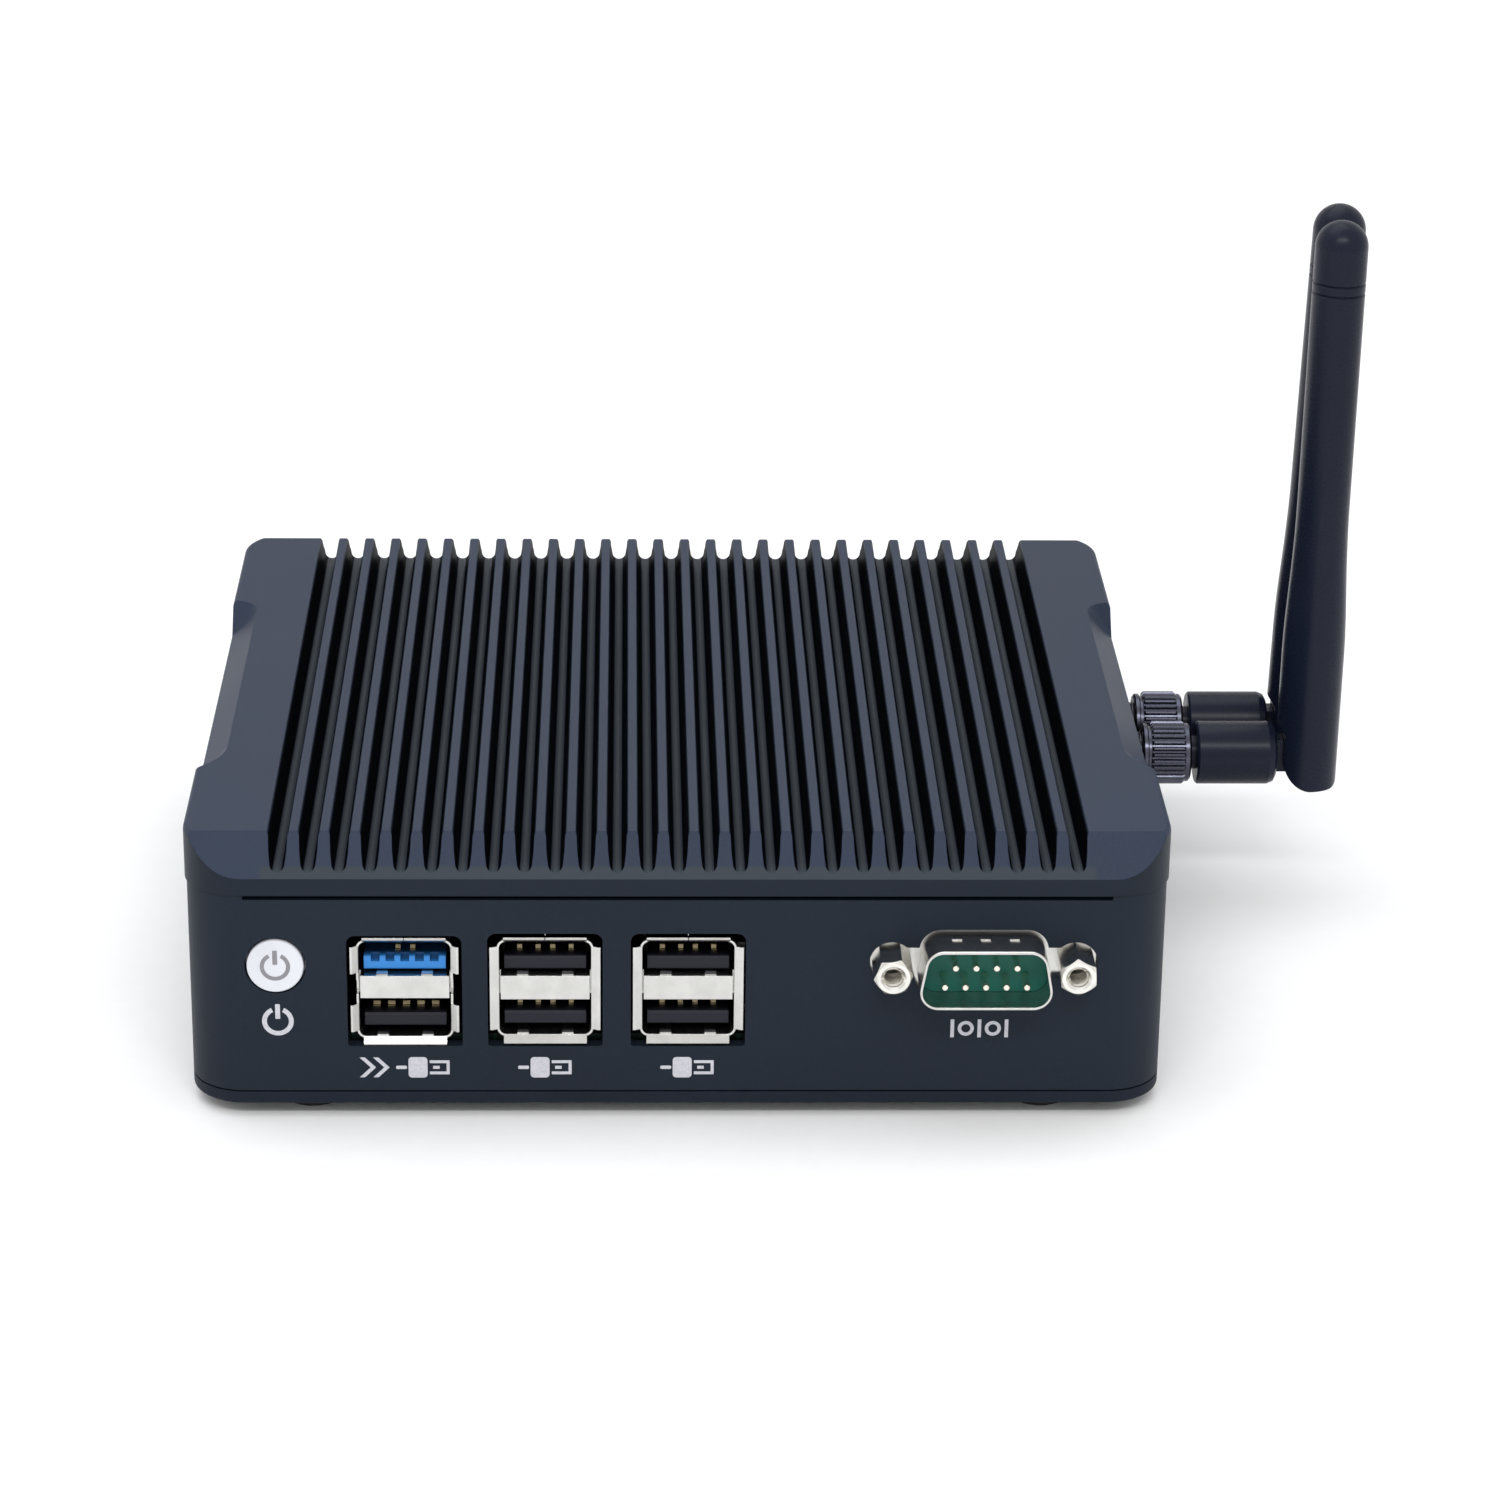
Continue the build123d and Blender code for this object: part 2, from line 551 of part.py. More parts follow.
def serial_shell():
    """Pressed flange with the D-shaped skirt that stands out of the panel."""
    rim = FRAME_FRONT - SERIAL_PROUD
    flange_w, flange_h = SERIAL_FLANGE
    plate = 0.6
    half = JACKSCREW_SPACING / 2
    flange = block((SERIAL_X - flange_w / 2, SERIAL_X + flange_w / 2),
                   (SERIAL_FLANGE_Y, SERIAL_FLANGE_Y + plate),
                   (SERIAL_Z - flange_h / 2, SERIAL_Z + flange_h / 2))
    centre = Pos(SERIAL_X, SERIAL_Z)
    skirt = along_y(centre * d_sketch(SERIAL_W, SERIAL_H, 2.6), (rim, SERIAL_FLANGE_Y + plate))
    skirt = fillet(skirt.faces().sort_by(Axis.Y)[0].edges(), 0.15)
    inner = d_sketch(SERIAL_W - 2 * SERIAL_SHEET, SERIAL_H - 2 * SERIAL_SHEET, 2.6 - SERIAL_SHEET)
    shell = flange + skirt - along_y(centre * inner, (rim - 1, SERIAL_FLANGE_Y + plate + 1))
    skirt_top = SERIAL_Z + SERIAL_H / 2
    dimple = 0.65
    for x in (SERIAL_X - 3.9, SERIAL_X, SERIAL_X + 3.9):
        shell = shell - block((x - dimple, x + dimple), (FRAME_FRONT - 3.2, FRAME_FRONT - 1.9),
                              (skirt_top - 0.2, skirt_top + 1))
    for x in (SERIAL_X - half, SERIAL_X + half):
        shell = shell - rod_y(x, (SERIAL_FLANGE_Y - 1, SERIAL_FLANGE_Y + 2), SERIAL_Z, 1.55)
    return shell


def serial_pin_places():
    """(X, Z) of the nine pins: four above, five below."""
    top = [(SERIAL_X + (i - 1.5) * PIN_PITCH, SERIAL_Z + PIN_ROWS / 2) for i in range(4)]
    low = [(SERIAL_X + (i - 2) * PIN_PITCH, SERIAL_Z - PIN_ROWS / 2) for i in range(5)]
    return top + low


SERIAL_FACE = FRAME_FRONT - SERIAL_PROUD + 5.1
SERIAL_BODY_BACK = SERIAL_FLANGE_Y + 9.6
PIN_R = 0.5


def serial_insulator():
    gap = 0.03
    inner = d_sketch(SERIAL_W - 2 * SERIAL_SHEET - 2 * gap, SERIAL_H - 2 * SERIAL_SHEET - 2 * gap,
                     2.6 - SERIAL_SHEET - gap)
    body = along_y(Pos(SERIAL_X, SERIAL_Z) * inner, (SERIAL_FACE, SERIAL_FLANGE_Y + 1.0))
    body = body + block((SERIAL_X - 9.6, SERIAL_X + 9.6), (SERIAL_FLANGE_Y + 0.7, SERIAL_BODY_BACK),
                        (SERIAL_Z - 5.5, SERIAL_Z + 5.5))
    body = body + block((SERIAL_X - 9.6, SERIAL_X + 9.6), (WALL_IN_FRONT + 0.2, SERIAL_BODY_BACK),
                        (BOARD_TOP + 0.1, SERIAL_Z))
    for x, z in serial_pin_places():
        body = body - rod_y(x, (SERIAL_FACE - 1, SERIAL_BODY_BACK + 1), z, PIN_R)
    return body


def serial_pins():
    pins = []
    for row, (x, z) in enumerate(serial_pin_places()):
        tip = FRAME_FRONT - SERIAL_PROUD + 0.7
        leg_y = SERIAL_BODY_BACK + (1.6 if row < 4 else 4.4)
        pin = rod_y(x, (tip, leg_y + PIN_R), z, PIN_R)
        pin = fillet(pin.edges().sort_by(Axis.Y)[0], 0.4)
        pins.append(pin + rod_z(x, leg_y, (BOARD_TOP, z), PIN_R * 0.9))
    return pins


def jackscrew(x, z, seat, towards, turn):
    """Hexagonal screw with a threaded mouth; towards is -1 at the front and 1 at the rear."""
    face = seat + towards * (JACKSCREW_PROUD + 1.0)
    y = tuple(sorted((seat, face)))
    sketch = Rot(0, 0, turn) * RegularPolygon(JACKSCREW_FLATS / 2, 6, major_radius=False)
    head = along_y(Pos(x, z) * sketch, y)
    tip_cone = rod_y(x, y, z, JACKSCREW_FLATS / 2 * 1.13)
    tip_cone = chamfer(tip_cone.edges().group_by(Axis.Y)[0 if towards < 0 else -1], 0.45)
    head = head & tip_cone
    stud = tuple(sorted((seat, seat - towards * 4.0)))
    mouth = tuple(sorted((face + towards, face - towards * 4.5)))
    screw = head + rod_y(x, stud, z, 1.4) - rod_y(x, mouth, z, JACKSCREW_HOLE_R)
    deep = 0.35
    y_mid = face - towards * deep / 2
    lead_in = Cone(JACKSCREW_HOLE_R, JACKSCREW_HOLE_R + deep, deep)
    return screw - Pos(x, y_mid, z) * Rot(90 * -towards, 0, 0) * lead_in


def jackscrews():
    half = JACKSCREW_SPACING / 2
    front = [jackscrew(SERIAL_X - half, SERIAL_Z, SERIAL_FLANGE_Y, -1, 8),
             jackscrew(SERIAL_X + half, SERIAL_Z, SERIAL_FLANGE_Y, -1, 33)]
    rear_seat = FRAME_REAR - 1.0
    return front + [jackscrew(VGA_X + x, VGA_Z, rear_seat, 1, 12) for x in (-half, half)]


# --- rear ports -----------------------------------------------------------------------------------
def power_inlet():
    nose_out = FRAME_REAR - 0.2
    body = block((INLET_X - 4.5, INLET_X + 4.5), (WALL_IN_REAR - 11, WALL_IN_REAR - 0.1),
                 (BOARD_TOP, INLET_Z + 5.5))
    body = body + rod_y(INLET_X, (WALL_IN_REAR - 1, nose_out), INLET_Z, 4.0)
    body = body - rod_y(INLET_X, (nose_out - 9.5, nose_out + 1), INLET_Z, 3.2)
    return body


def inlet_pin():
    nose_out = FRAME_REAR - 0.2
    pin = rod_y(INLET_X, (nose_out - 9.5, nose_out - 1.0), INLET_Z, 1.0)
    return fillet(pin.edges().sort_by(Axis.Y)[-1], 0.4)


def vga_shell():
    rim = FRAME_REAR + 4.8
    flange_y = FRAME_REAR - 1.0
    flange_w, flange_h = SERIAL_FLANGE
    half = JACKSCREW_SPACING / 2
    centre = Pos(VGA_X, VGA_Z)
    flange = block((VGA_X - flange_w / 2, VGA_X + flange_w / 2), (flange_y - 0.6, flange_y),
                   (VGA_Z - flange_h / 2, VGA_Z + flange_h / 2))
    skirt = along_y(centre * d_sketch(16.3, 7.9, 2.4, flip=True), (flange_y - 0.6, rim))
    inner = d_sketch(15.5, 7.1, 2.0, flip=True)
    shell = flange + skirt - along_y(centre * inner, (flange_y - 2, rim + 1))
    for x in (VGA_X - half, VGA_X + half):
        shell = shell - rod_y(x, (flange_y - 2, flange_y + 1), VGA_Z, 1.55)
    return shell


def vga_insulator():
    """Socket insert flush with the shell's rim, with three rows of five holes."""
    rim = FRAME_REAR + 4.8
    flange_y = FRAME_REAR - 1.0
    nose = Pos(VGA_X, VGA_Z) * d_sketch(15.44, 7.04, 1.97, flip=True)
    body = along_y(nose, (flange_y - 1.0, rim - 0.2))
    body = body + block((VGA_X - 9.2, VGA_X + 9.2), (flange_y - 9.0, flange_y - 0.7),
                        (BOARD_TOP + 0.1, VGA_Z + 5.4))
    for row, shift in ((-1, -0.55), (0, 0.55), (1, -0.55)):
        for i in range(5):
            x = VGA_X + (i - 2) * 2.29 + shift
            body = body - rod_y(x, (rim - 5, rim + 1), VGA_Z + row * 1.98, 0.5)
    return body


def hdmi_profile(wide, high, bevel):
    """Outline of an HDMI mouth: its two lower corners are cut away."""
    w, h = wide / 2, high / 2
    return make_face(Polyline((-w, h), (w, h), (w, -h + bevel), (w - bevel * 1.3, -h), (-w + bevel * 1.3, -h),
                              (-w, -h + bevel), close=True))


def hdmi_shell():
    mouth = FRAME_REAR - 0.1
    centre = Pos(HDMI_X, HDMI_Z)
    outer = along_y(centre * hdmi_profile(15.0, 6.1, 2.0), (mouth - 11.5, mouth))
    return outer - along_y(centre * hdmi_profile(14.4, 5.5, 1.9), (mouth - 11.2, mouth + 1))


def hdmi_tongue():
    mouth = FRAME_REAR - 0.1
    block_z = (HDMI_Z - 0.8, HDMI_Z + 2.7)
    body = block((HDMI_X - 7.1, HDMI_X + 7.1), (mouth - 11.15, mouth - 8.5), block_z)
    return body + block((HDMI_X - 6.2, HDMI_X + 6.2), (mouth - 9, mouth - 1.2), (HDMI_Z + 0.3, HDMI_Z + 1.5))


def lan_jack(x):
    """Network socket: a shell with a stepped plug opening."""
    mouth = FRAME_REAR + 0.2
    low = BOARD_TOP + 0.4
    body = block((x - LAN_W / 2, x + LAN_W / 2), (mouth - 21.0, mouth), (low, low + LAN_H))
    hole_w, hole_h = LAN_HOLE
    z0 = low + 2.6
    body = body - block((x - hole_w / 2, x + hole_w / 2), (mouth - 13.0, mouth + 1), (z0, z0 + hole_h))
    body = body - block((x - 3.2, x + 3.2), (mouth - 9.0, mouth + 1), (z0 - 1.2, z0 + 0.1))
    body = body - block((x - 2.0, x + 2.0), (mouth - 9.0, mouth + 1), (z0 - 2.0, z0 - 1.1))
    for side in (-1, 1):
        body = body - block((x + side * 6.2 - 1.3, x + side * 6.2 + 1.3), (mouth - 0.6, mouth + 1),
                            (low + 0.5, low + 2.0))
    return body


def lan_contacts(x):
    mouth = FRAME_REAR + 0.2
    roof = BOARD_TOP + 0.4 + 2.6 + LAN_HOLE[1]
    contacts = []
    for i in range(8):
        at = x + (i - 3.5) * 1.02
        points = [(mouth - 12.9, roof - 0.02), (mouth - 12.9, roof - 0.5), (mouth - 5.0, roof - 2.2),
                  (mouth - 4.4, roof - 1.9), (mouth - 11.5, roof - 0.02)]
        side = make_face(Polyline(*[(at - 0.2, deep, up) for deep, up in points], close=True))
        contacts.append(extrude(side, amount=0.4, dir=(1, 0, 0)))
    return contacts


def audio_jacks():
    """Two headphone sockets, one above the other, in a single moulding."""
    mouth = FRAME_REAR + 0.3
    body = block((AUDIO_X - 3.9, AUDIO_X + 3.9), (WALL_IN_REAR - 12, WALL_IN_REAR - 0.1),
                 (BOARD_TOP, AUDIO_Z[1] + 4))
    for z in AUDIO_Z:
        body = body + rod_y(AUDIO_X, (WALL_IN_REAR - 1, mouth), z, 3.0)
        body = body - rod_y(AUDIO_X, (mouth - 12.0, mouth + 1), z, AUDIO_BORE_R)
    return body


# --- mainboard and what stands on it ----------------------------------------------------------------
PROCESSOR = (-6.0, 13.0)
PACKAGE = (25.0, 27.0, 1.3)
PAD_THICK = 0.5
HEAT_BLOCK = (42.0, 36.0)
HEAT_FLANGE = (58.0, 36.0, 3.0)
HEAT_SCREW_IN = 1.6
HEAT_SCREWS = [(PROCESSOR[0] + x, PROCESSOR[1] + y) for x in (-25.0, 25.0) for y in (-13.0, 13.0)]
SSD_X = (-55.5, -33.5)
SSD_Y = (-39.4, 40.6)
MEMORY_X = (27.0, 57.0)
MEMORY_Y = (-33.8, 33.8)
WIFI_X = (-31.0, -9.0)
WIFI_Y = (-39.0, -9.0)
COIN = (10.0, -28.0)


def mainboard():
    board = block((-BOARD_HALF_X, BOARD_HALF_X), (-BOARD_HALF_Y, BOARD_HALF_Y),
                  (BOARD_BOTTOM, BOARD_TOP), BOARD_CORNER)
    for x, y in CASE_SCREW:
        board = board - Pos(x, y, BOARD_TOP) * Box(BOARD_NOTCH, BOARD_NOTCH, 10)
    for x, y in BOARD_SCREWS:
        board = board - rod_z(x, y, (0, BOARD_TOP + 1), M3_CLEAR_R)
    return board


def board_standoffs():
    posts = []
    for x, y in BOARD_SCREWS:
        hexagon = Pos(x, y, COVER_SHEET) * RegularPolygon(2.5, 6, major_radius=False)
        posts.append(extrude(hexagon, amount=BOARD_BOTTOM - COVER_SHEET) - rod_z(x, y, (0, BOARD_TOP), M3_R))
    return posts


def board_screws():
    screws = []
    for x, y in BOARD_SCREWS:
        head = fillet(rod_z(x, y, (BOARD_TOP, BOARD_TOP + 2.0), 2.75).edges().sort_by(Axis.Z)[-1], 0.8)
        slot = Pos(x, y, BOARD_TOP + 1.8) * Box(0.7, 3, 1.2)
        screws.append(head + rod_z(x, y, (3.0, BOARD_TOP + 0.5), M3_THREAD_R) - slot)
    return screws


def processor_package():
    x, y = PROCESSOR
    w, d, h = PACKAGE
    base = block((x - w / 2, x + w / 2), (y - d / 2, y + d / 2), (BOARD_TOP, BOARD_TOP + h * 0.6))
    return base + block((x - 6, x + 6), (y - 5, y + 5), (BOARD_TOP, BOARD_TOP + h))


def thermal_pad():
    x, y = PROCESSOR
    z = BOARD_TOP + PACKAGE[2]
    return block((x - 8, x + 8), (y - 7, y + 7), (z, z + PAD_THICK))


def heat_block():
    """Aluminium block between the processor and the underside of the lid."""
    x, y = PROCESSOR
    low = BOARD_TOP + PACKAGE[2] + PAD_THICK
    w, d = HEAT_BLOCK
    fw, fd, fh = HEAT_FLANGE
    body = block((x - 10, x + 10), (y - 9, y + 9), (low, low + 2.5))
    body = body + block((x - w / 2, x + w / 2), (y - d / 2, y + d / 2), (low + 2.0, LID_CEILING), 2.0)
    body = body + block((x - fw / 2, x + fw / 2), (y - fd / 2, y + fd / 2),
                        (LID_CEILING - fh, LID_CEILING), 2.0)
    for sx, sy in HEAT_SCREWS:
        body = body - rod_z(sx, sy, (0, LID_CEILING + 1), M3_CLEAR_R)
    return body


def heat_block_screws():
    seat = LID_CEILING - HEAT_FLANGE[2]
    screws = []
    for x, y in HEAT_SCREWS:
        head = rod_z(x, y, (seat - 3.0, seat), 2.75) - rod_z(x, y, (seat - 4, seat - 1.5), 1.3)
        screws.append(head + rod_z(x, y, (seat - 0.5, LID_CEILING + HEAT_SCREW_IN), M3_THREAD_R))
    return screws


def memory_socket():
    x0, x1 = MEMORY_X
    body = block((x0 - 5.0, x0 + 3.0), (MEMORY_Y[0] - 2.5, MEMORY_Y[1] + 2.5), (BOARD_TOP, BOARD_TOP + 5.2))
    body = body - block((x0, x0 + 4), MEMORY_Y, (BOARD_TOP + 2.6, BOARD_TOP + 4.0))
    for y in ((MEMORY_Y[0] - 2.5, MEMORY_Y[0] - 0.2), (MEMORY_Y[1] + 0.2, MEMORY_Y[1] + 2.5)):
        body = body + block((x0, x0 + 22), y, (BOARD_TOP, BOARD_TOP + 4.6))
    return body


def memory_module():
    z = BOARD_TOP + 2.7
    return block(MEMORY_X, (MEMORY_Y[0] + 0.05, MEMORY_Y[1] - 0.05), (z, z + 1.2))


def memory_chips():
    z = BOARD_TOP + 3.9
    chips = []
    for i in range(4):
        y = MEMORY_Y[0] + 8.5 + i * 16.9
        chips.append(block((MEMORY_X[0] + 9, MEMORY_X[0] + 22), (y - 4.8, y + 4.8), (z, z + 1.1)))
    return chips


def card_sockets():
    """The low edge sockets that the storage card and the wireless card plug into."""
    sockets = []
    for x, y in ((SSD_X, SSD_Y[0]), (WIFI_X, WIFI_Y[0])):
        body = block((x[0], x[1]), (y - 4.5, y + 3.5), (BOARD_TOP, BOARD_TOP + 4.2))
        sockets.append(body - block((x[0] + 0.6, x[1] - 0.6), (y, y + 4), (BOARD_TOP + 1.9, BOARD_TOP + 3.1)))
    return sockets


CARD_Z = BOARD_TOP + 2.1
CARD_THICK = 0.8


def edge_card(x, y):
    """A plug-in card with the half-round screw notch in its far edge."""
    card = block((x[0] + 0.7, x[1] - 0.7), (y[0], y[1]), (CARD_Z, CARD_Z + CARD_THICK))
    return card - rod_z(sum(x) / 2, y[1], (0, 30), 1.8)


def ssd_chips():
    z = CARD_Z + CARD_THICK
    x = sum(SSD_X) / 2
    return [block((x - 6, x + 6), (y - 6, y + 6), (z, z + 1.2)) for y in (-22.0, -6.0, 10.0, 26.0)]


def wifi_shield():
    z = CARD_Z + CARD_THICK
    x = sum(WIFI_X) / 2
    return block((x - 8.5, x + 8.5), (WIFI_Y[0] + 7, WIFI_Y[1] - 10), (z, z + 1.5))


def card_screws():
    screws = []
    for x, y in ((sum(SSD_X) / 2, SSD_Y[1]), (sum(WIFI_X) / 2, WIFI_Y[1])):
        post = rod_z(x, y, (BOARD_TOP, CARD_Z), 2.2)
        neck = rod_z(x, y, (CARD_Z, CARD_Z + CARD_THICK), 1.6)
        screws.append(post + neck + rod_z(x, y, (CARD_Z + CARD_THICK, CARD_Z + CARD_THICK + 1.0), 2.5))
    return screws


def coin_cell_holder():
    x, y = COIN
    body = rod_z(x, y, (BOARD_TOP, BOARD_TOP + 4.6), 11.6)
    body = body - rod_z(x, y, (BOARD_TOP + 1.2, BOARD_TOP + 6), 10.1)
    return body - block((x - 4, x + 4), (y - 15, y - 8), (BOARD_TOP + 1.2, BOARD_TOP + 6))


def coin_cell():
    x, y = COIN
    return fillet(rod_z(x, y, (BOARD_TOP + 1.2, BOARD_TOP + 4.4), 10.0).edges().sort_by(Axis.Z)[-1], 0.5)


def power_inductors():
    x = 18.6
    half = 2.4
    return [block((x - half, x + half), (y - half, y + half), (BOARD_TOP, BOARD_TOP + 3.6), 0.6)
            for y in (2.0, 9.0, 16.0, 23.0)]


def board_capacitors():
    places = [(-31.0, 33.0), (-31.0, 25.0), (37.0, 41.0), (44.0, 41.0), (12.5, -48.0), (19.5, -48.0)]
    cans = []
    for x, y in places:
        can = rod_z(x, y, (BOARD_TOP + 0.6, BOARD_TOP + 6.4), 3.1)
        can = fillet(can.edges().sort_by(Axis.Z)[-1], 0.6)
        cans.append(can + block((x - 3.3, x + 3.3), (y - 3.3, y + 3.3), (BOARD_TOP, BOARD_TOP + 0.9)))
    return cans


def board_chips():
    places = [(-16.0, 34.5, 9.0, 9.0), (-1.0, 34.5, 9.0, 9.0), (14.0, 34.5, 6.0, 8.0),
              (26.5, -40.0, 5.0, 5.0), (26.6, -50.0, 5.0, 6.0), (48.0, -41.0, 7.0, 9.0)]
    return [block((x - w / 2, x + w / 2), (y - d / 2, y + d / 2), (BOARD_TOP, BOARD_TOP + 1.2))
            for x, y, w, d in places]


# --- antennas -------------------------------------------------------------------------------------
def antenna_jack(y):
    """Threaded bulkhead jack, with a flange behind the wall and a bore for the antenna's plug."""
    z = ANTENNA_Z
    wall_in = FRAME_SIDE - WALL
    body = rod_x((JACK_IN, JACK_OUT), y, z, JACK_R)
    body = body + hex_x((wall_in - 1.8, wall_in), y, z, 7.8)
    neck = FRAME_SIDE + WASHER_THICK + LOCKNUT_THICK
    for x in (neck + 0.3, neck + 0.65, neck + 1.0):
        valley = revolved_x([(x - 0.15, JACK_R + 0.1), (x, JACK_R - 0.2), (x + 0.15, JACK_R + 0.1)])
        body = body - Pos(0, y, z) * valley
    return body - rod_x((68.0, JACK_OUT + 1), y, z, JACK_BORE_R) + rod_x((67.5, 72.5), y, z, 0.6)


def antenna_washer(y):
    x = (FRAME_SIDE, FRAME_SIDE + WASHER_THICK)
    return rod_x(x, y, ANTENNA_Z, 4.4) - rod_x((x[0] - 1, x[1] + 1), y, ANTENNA_Z, JACK_R + 0.05)


def antenna_lock_nut(y, turn):
    x = (FRAME_SIDE + WASHER_THICK, FRAME_SIDE + WASHER_THICK + LOCKNUT_THICK)
    body = hex_x(x, y, ANTENNA_Z, LOCKNUT_FLATS, turn)
    rounded = rod_x(x, y, ANTENNA_Z, LOCKNUT_FLATS / 2 * 1.13)
    rounded = chamfer(rounded.edges().filter_by(GeomType.CIRCLE), 0.35)
    return (body & rounded) - rod_x((x[0] - 1, x[1] + 1), y, ANTENNA_Z, JACK_R + 0.03)


def revolved_x(points):
    """Turn (x, radius) points about the antenna's axis, which lies along X through the origin."""
    return revolve(make_face(Polyline(*[(x, r, 0) for x, r in points], close=True)), Axis.X)


def coupling_nut():
    """Knurled nut: a plain ring at each end and a threaded inside that captures the stem's collar."""
    x0, x1 = NUT_X
    ring, groove, end = x0 + 0.9, x0 + 1.35, x1 - 0.9
    smooth = revolved_x([
        (x0, 0), (x0, 4.1), (x0 + 0.25, 4.4), (ring - 0.15, 4.4), (ring, 4.25), (ring, 4.0), (groove, 4.0),
        (groove, 4.35), (end, 4.35), (end, 4.4), (x1 - 0.3, 4.4), (x1, 4.1), (x1, 0)])
    valley = NUT_OUT_R - 0.4
    tips = []
    for i in range(KNURL_RIDGES):
        for part, r in ((0.0, NUT_OUT_R), (0.28, NUT_OUT_R), (0.5, valley), (0.78, valley)):
            angle = 2 * math.pi * (i + part) / KNURL_RIDGES
            tips.append((r * math.cos(angle), r * math.sin(angle)))
    toothed = Pos(groove, 0, 0) * Rot(0, 90, 0) * make_face(Polyline(*tips, close=True))
    knurl = extrude(toothed, amount=end - groove)
    limit = rod_x((groove, end), 0, 0, NUT_OUT_R + 0.2)
    limit = chamfer(limit.edges().filter_by(GeomType.CIRCLE), 0.45)
    body = smooth + (knurl & limit)
    body = body - rod_x((x0 - 1, JACK_OUT + 0.3), 0, 0, JACK_R + RUNNING)
    body = body - rod_x((JACK_OUT + 0.2, x1 - 1.1), 0, 0, COLLAR_R + 0.2)
    return body - rod_x((x1 - 2, x1 + 1), 0, 0, STEM_R + RUNNING)


def sleeve():
    """Round body that swivels on the jack: plug, collar, stem, barrel and the tang of the hinge."""
    x0, x1 = SLEEVE_X
    plug_r = JACK_BORE_R - RUNNING
    collar = JACK_OUT + 0.35
    body = revolved_x([
        (PLUG_IN, 0), (PLUG_IN, plug_r), (collar, plug_r), (collar, COLLAR_R), (collar + 1.0, COLLAR_R),
        (collar + 1.0, STEM_R), (x0, STEM_R), (x0, SLEEVE_R - 0.3), (x0 + 0.3, SLEEVE_R),
        (x1 - 1.2, SLEEVE_R), (x1 - 0.35, SLEEVE_R - 0.35), (x1, SLEEVE_R - 0.95), (x1, 0)])
    body = body - rod_x((PLUG_IN - 1, PLUG_IN + 2.4), 0, 0, 1.0)
    tang = along_y(Pos((x1 - 1 + PIVOT_X) / 2, 0) * Rectangle(PIVOT_X - x1 + 1, 2 * TANG_R),
                   (-TANG_THICK / 2, TANG_THICK / 2))
    tang = tang + rod_y(PIVOT_X, (-TANG_THICK / 2, TANG_THICK / 2), 0, TANG_R)
    return body + tang - rod_y(PIVOT_X, (-5, 5), 0, HINGE_PIN_R)


def hinge_pin():
    ends = (-PIN_BORE_FRONT + 0.05, BLADE_LOW_R - 0.55)
    return rod_y(PIVOT_X, ends, 0, HINGE_PIN_R - 0.01)


def blade():
    """Upright part: forked at the hinge, narrowing to a round-ended rod with two ring grooves."""
    low, high = BLADE_LOW_R, BLADE_HIGH_R
    z0, z1 = SHOULDER
    top = BLADE_LONG - high
    notch = 0.22
    side = [(high, z1)]
    for z in GROOVES:
        side += [(high, z - notch), (high - notch, z), (high, z + notch)]
    side += [(high, top)]
    halfway = ((low + high) / 2, (z0 + z1) / 2 - 1.0)
    narrowing = Spline((low, z0), halfway, (high, z1), tangents=((0, 1), (0, 1)))
    tip = ThreePointArc((high, top), (high * math.sqrt(0.5), top + high * math.sqrt(0.5)), (0, top + high))
    lines = [Line((0, -low), (low, -low)), Line((low, -low), (low, z0)), narrowing, Polyline(*side), tip,
             Line((0, top + high), (0, -low))]
    rod = revolve(Plane.XZ * make_face(lines), Axis.Z)
    outer_r = 1.3
    above = BLADE_LONG + 5.0
    diagonal = math.sqrt(0.5)
    ramp_top = FOOT_FLAT_TOP + low + 1 - FOOT_FLAT
    foot = make_face([
        Polyline((-FOOT_FLAT, 0), (-FOOT_FLAT, FOOT_FLAT_TOP), (-low - 1, ramp_top), (-low - 1, above),
                 (low + 1, above), (low + 1, -low), (0, -low)),
        ThreePointArc((0, -low), (-FOOT_FLAT * diagonal, -low * diagonal), (-FOOT_FLAT, 0))])
    rod = rod & along_y(foot, (-low - 1, low + 1))
    corner = block((low - outer_r, low + 2), (-9, 9), (-low - 2, -low + outer_r))
    corner = corner - rod_y(low - outer_r, (-10, 10), -low + outer_r, outer_r)
    rod = rod - corner
    room = TANG_R + 0.15
    past = 9.0
    slot = make_face([
        ThreePointArc((0, room), (room * diagonal, room * diagonal), (room, 0)),
        Polyline((room, 0), (room, -past), (-past, -past), (-past, room), (0, room))])
    gap = TANG_THICK / 2 + 0.08
    rod = rod - along_y(slot, (-gap, gap))
    return Pos(PIVOT_X, 0, 0) * (rod - rod_y(0, (-PIN_BORE_FRONT, past), 0, HINGE_PIN_R + 0.04))


def antenna_place(name):
    """Where the swivelling part of an antenna stands, with its lean about X."""
    y, swivel, _ = ANTENNAS[name]
    return Pos(0, y, ANTENNA_Z) * Rot(swivel, 0, 0)


def placed_blade(name):
    tilt = ANTENNAS[name][2]
    return antenna_place(name) * Pos(PIVOT_X, 0, 0) * Rot(0, tilt, 0) * Pos(-PIVOT_X, 0, 0) * blade()


LEAD_Z = CARD_Z + CARD_THICK + 0.85
LEAD_PLUG_R = 1.4
LEAD_PLUGS = {"front": (-23.5, -12.5), "rear": (-16.5, -15.5)}


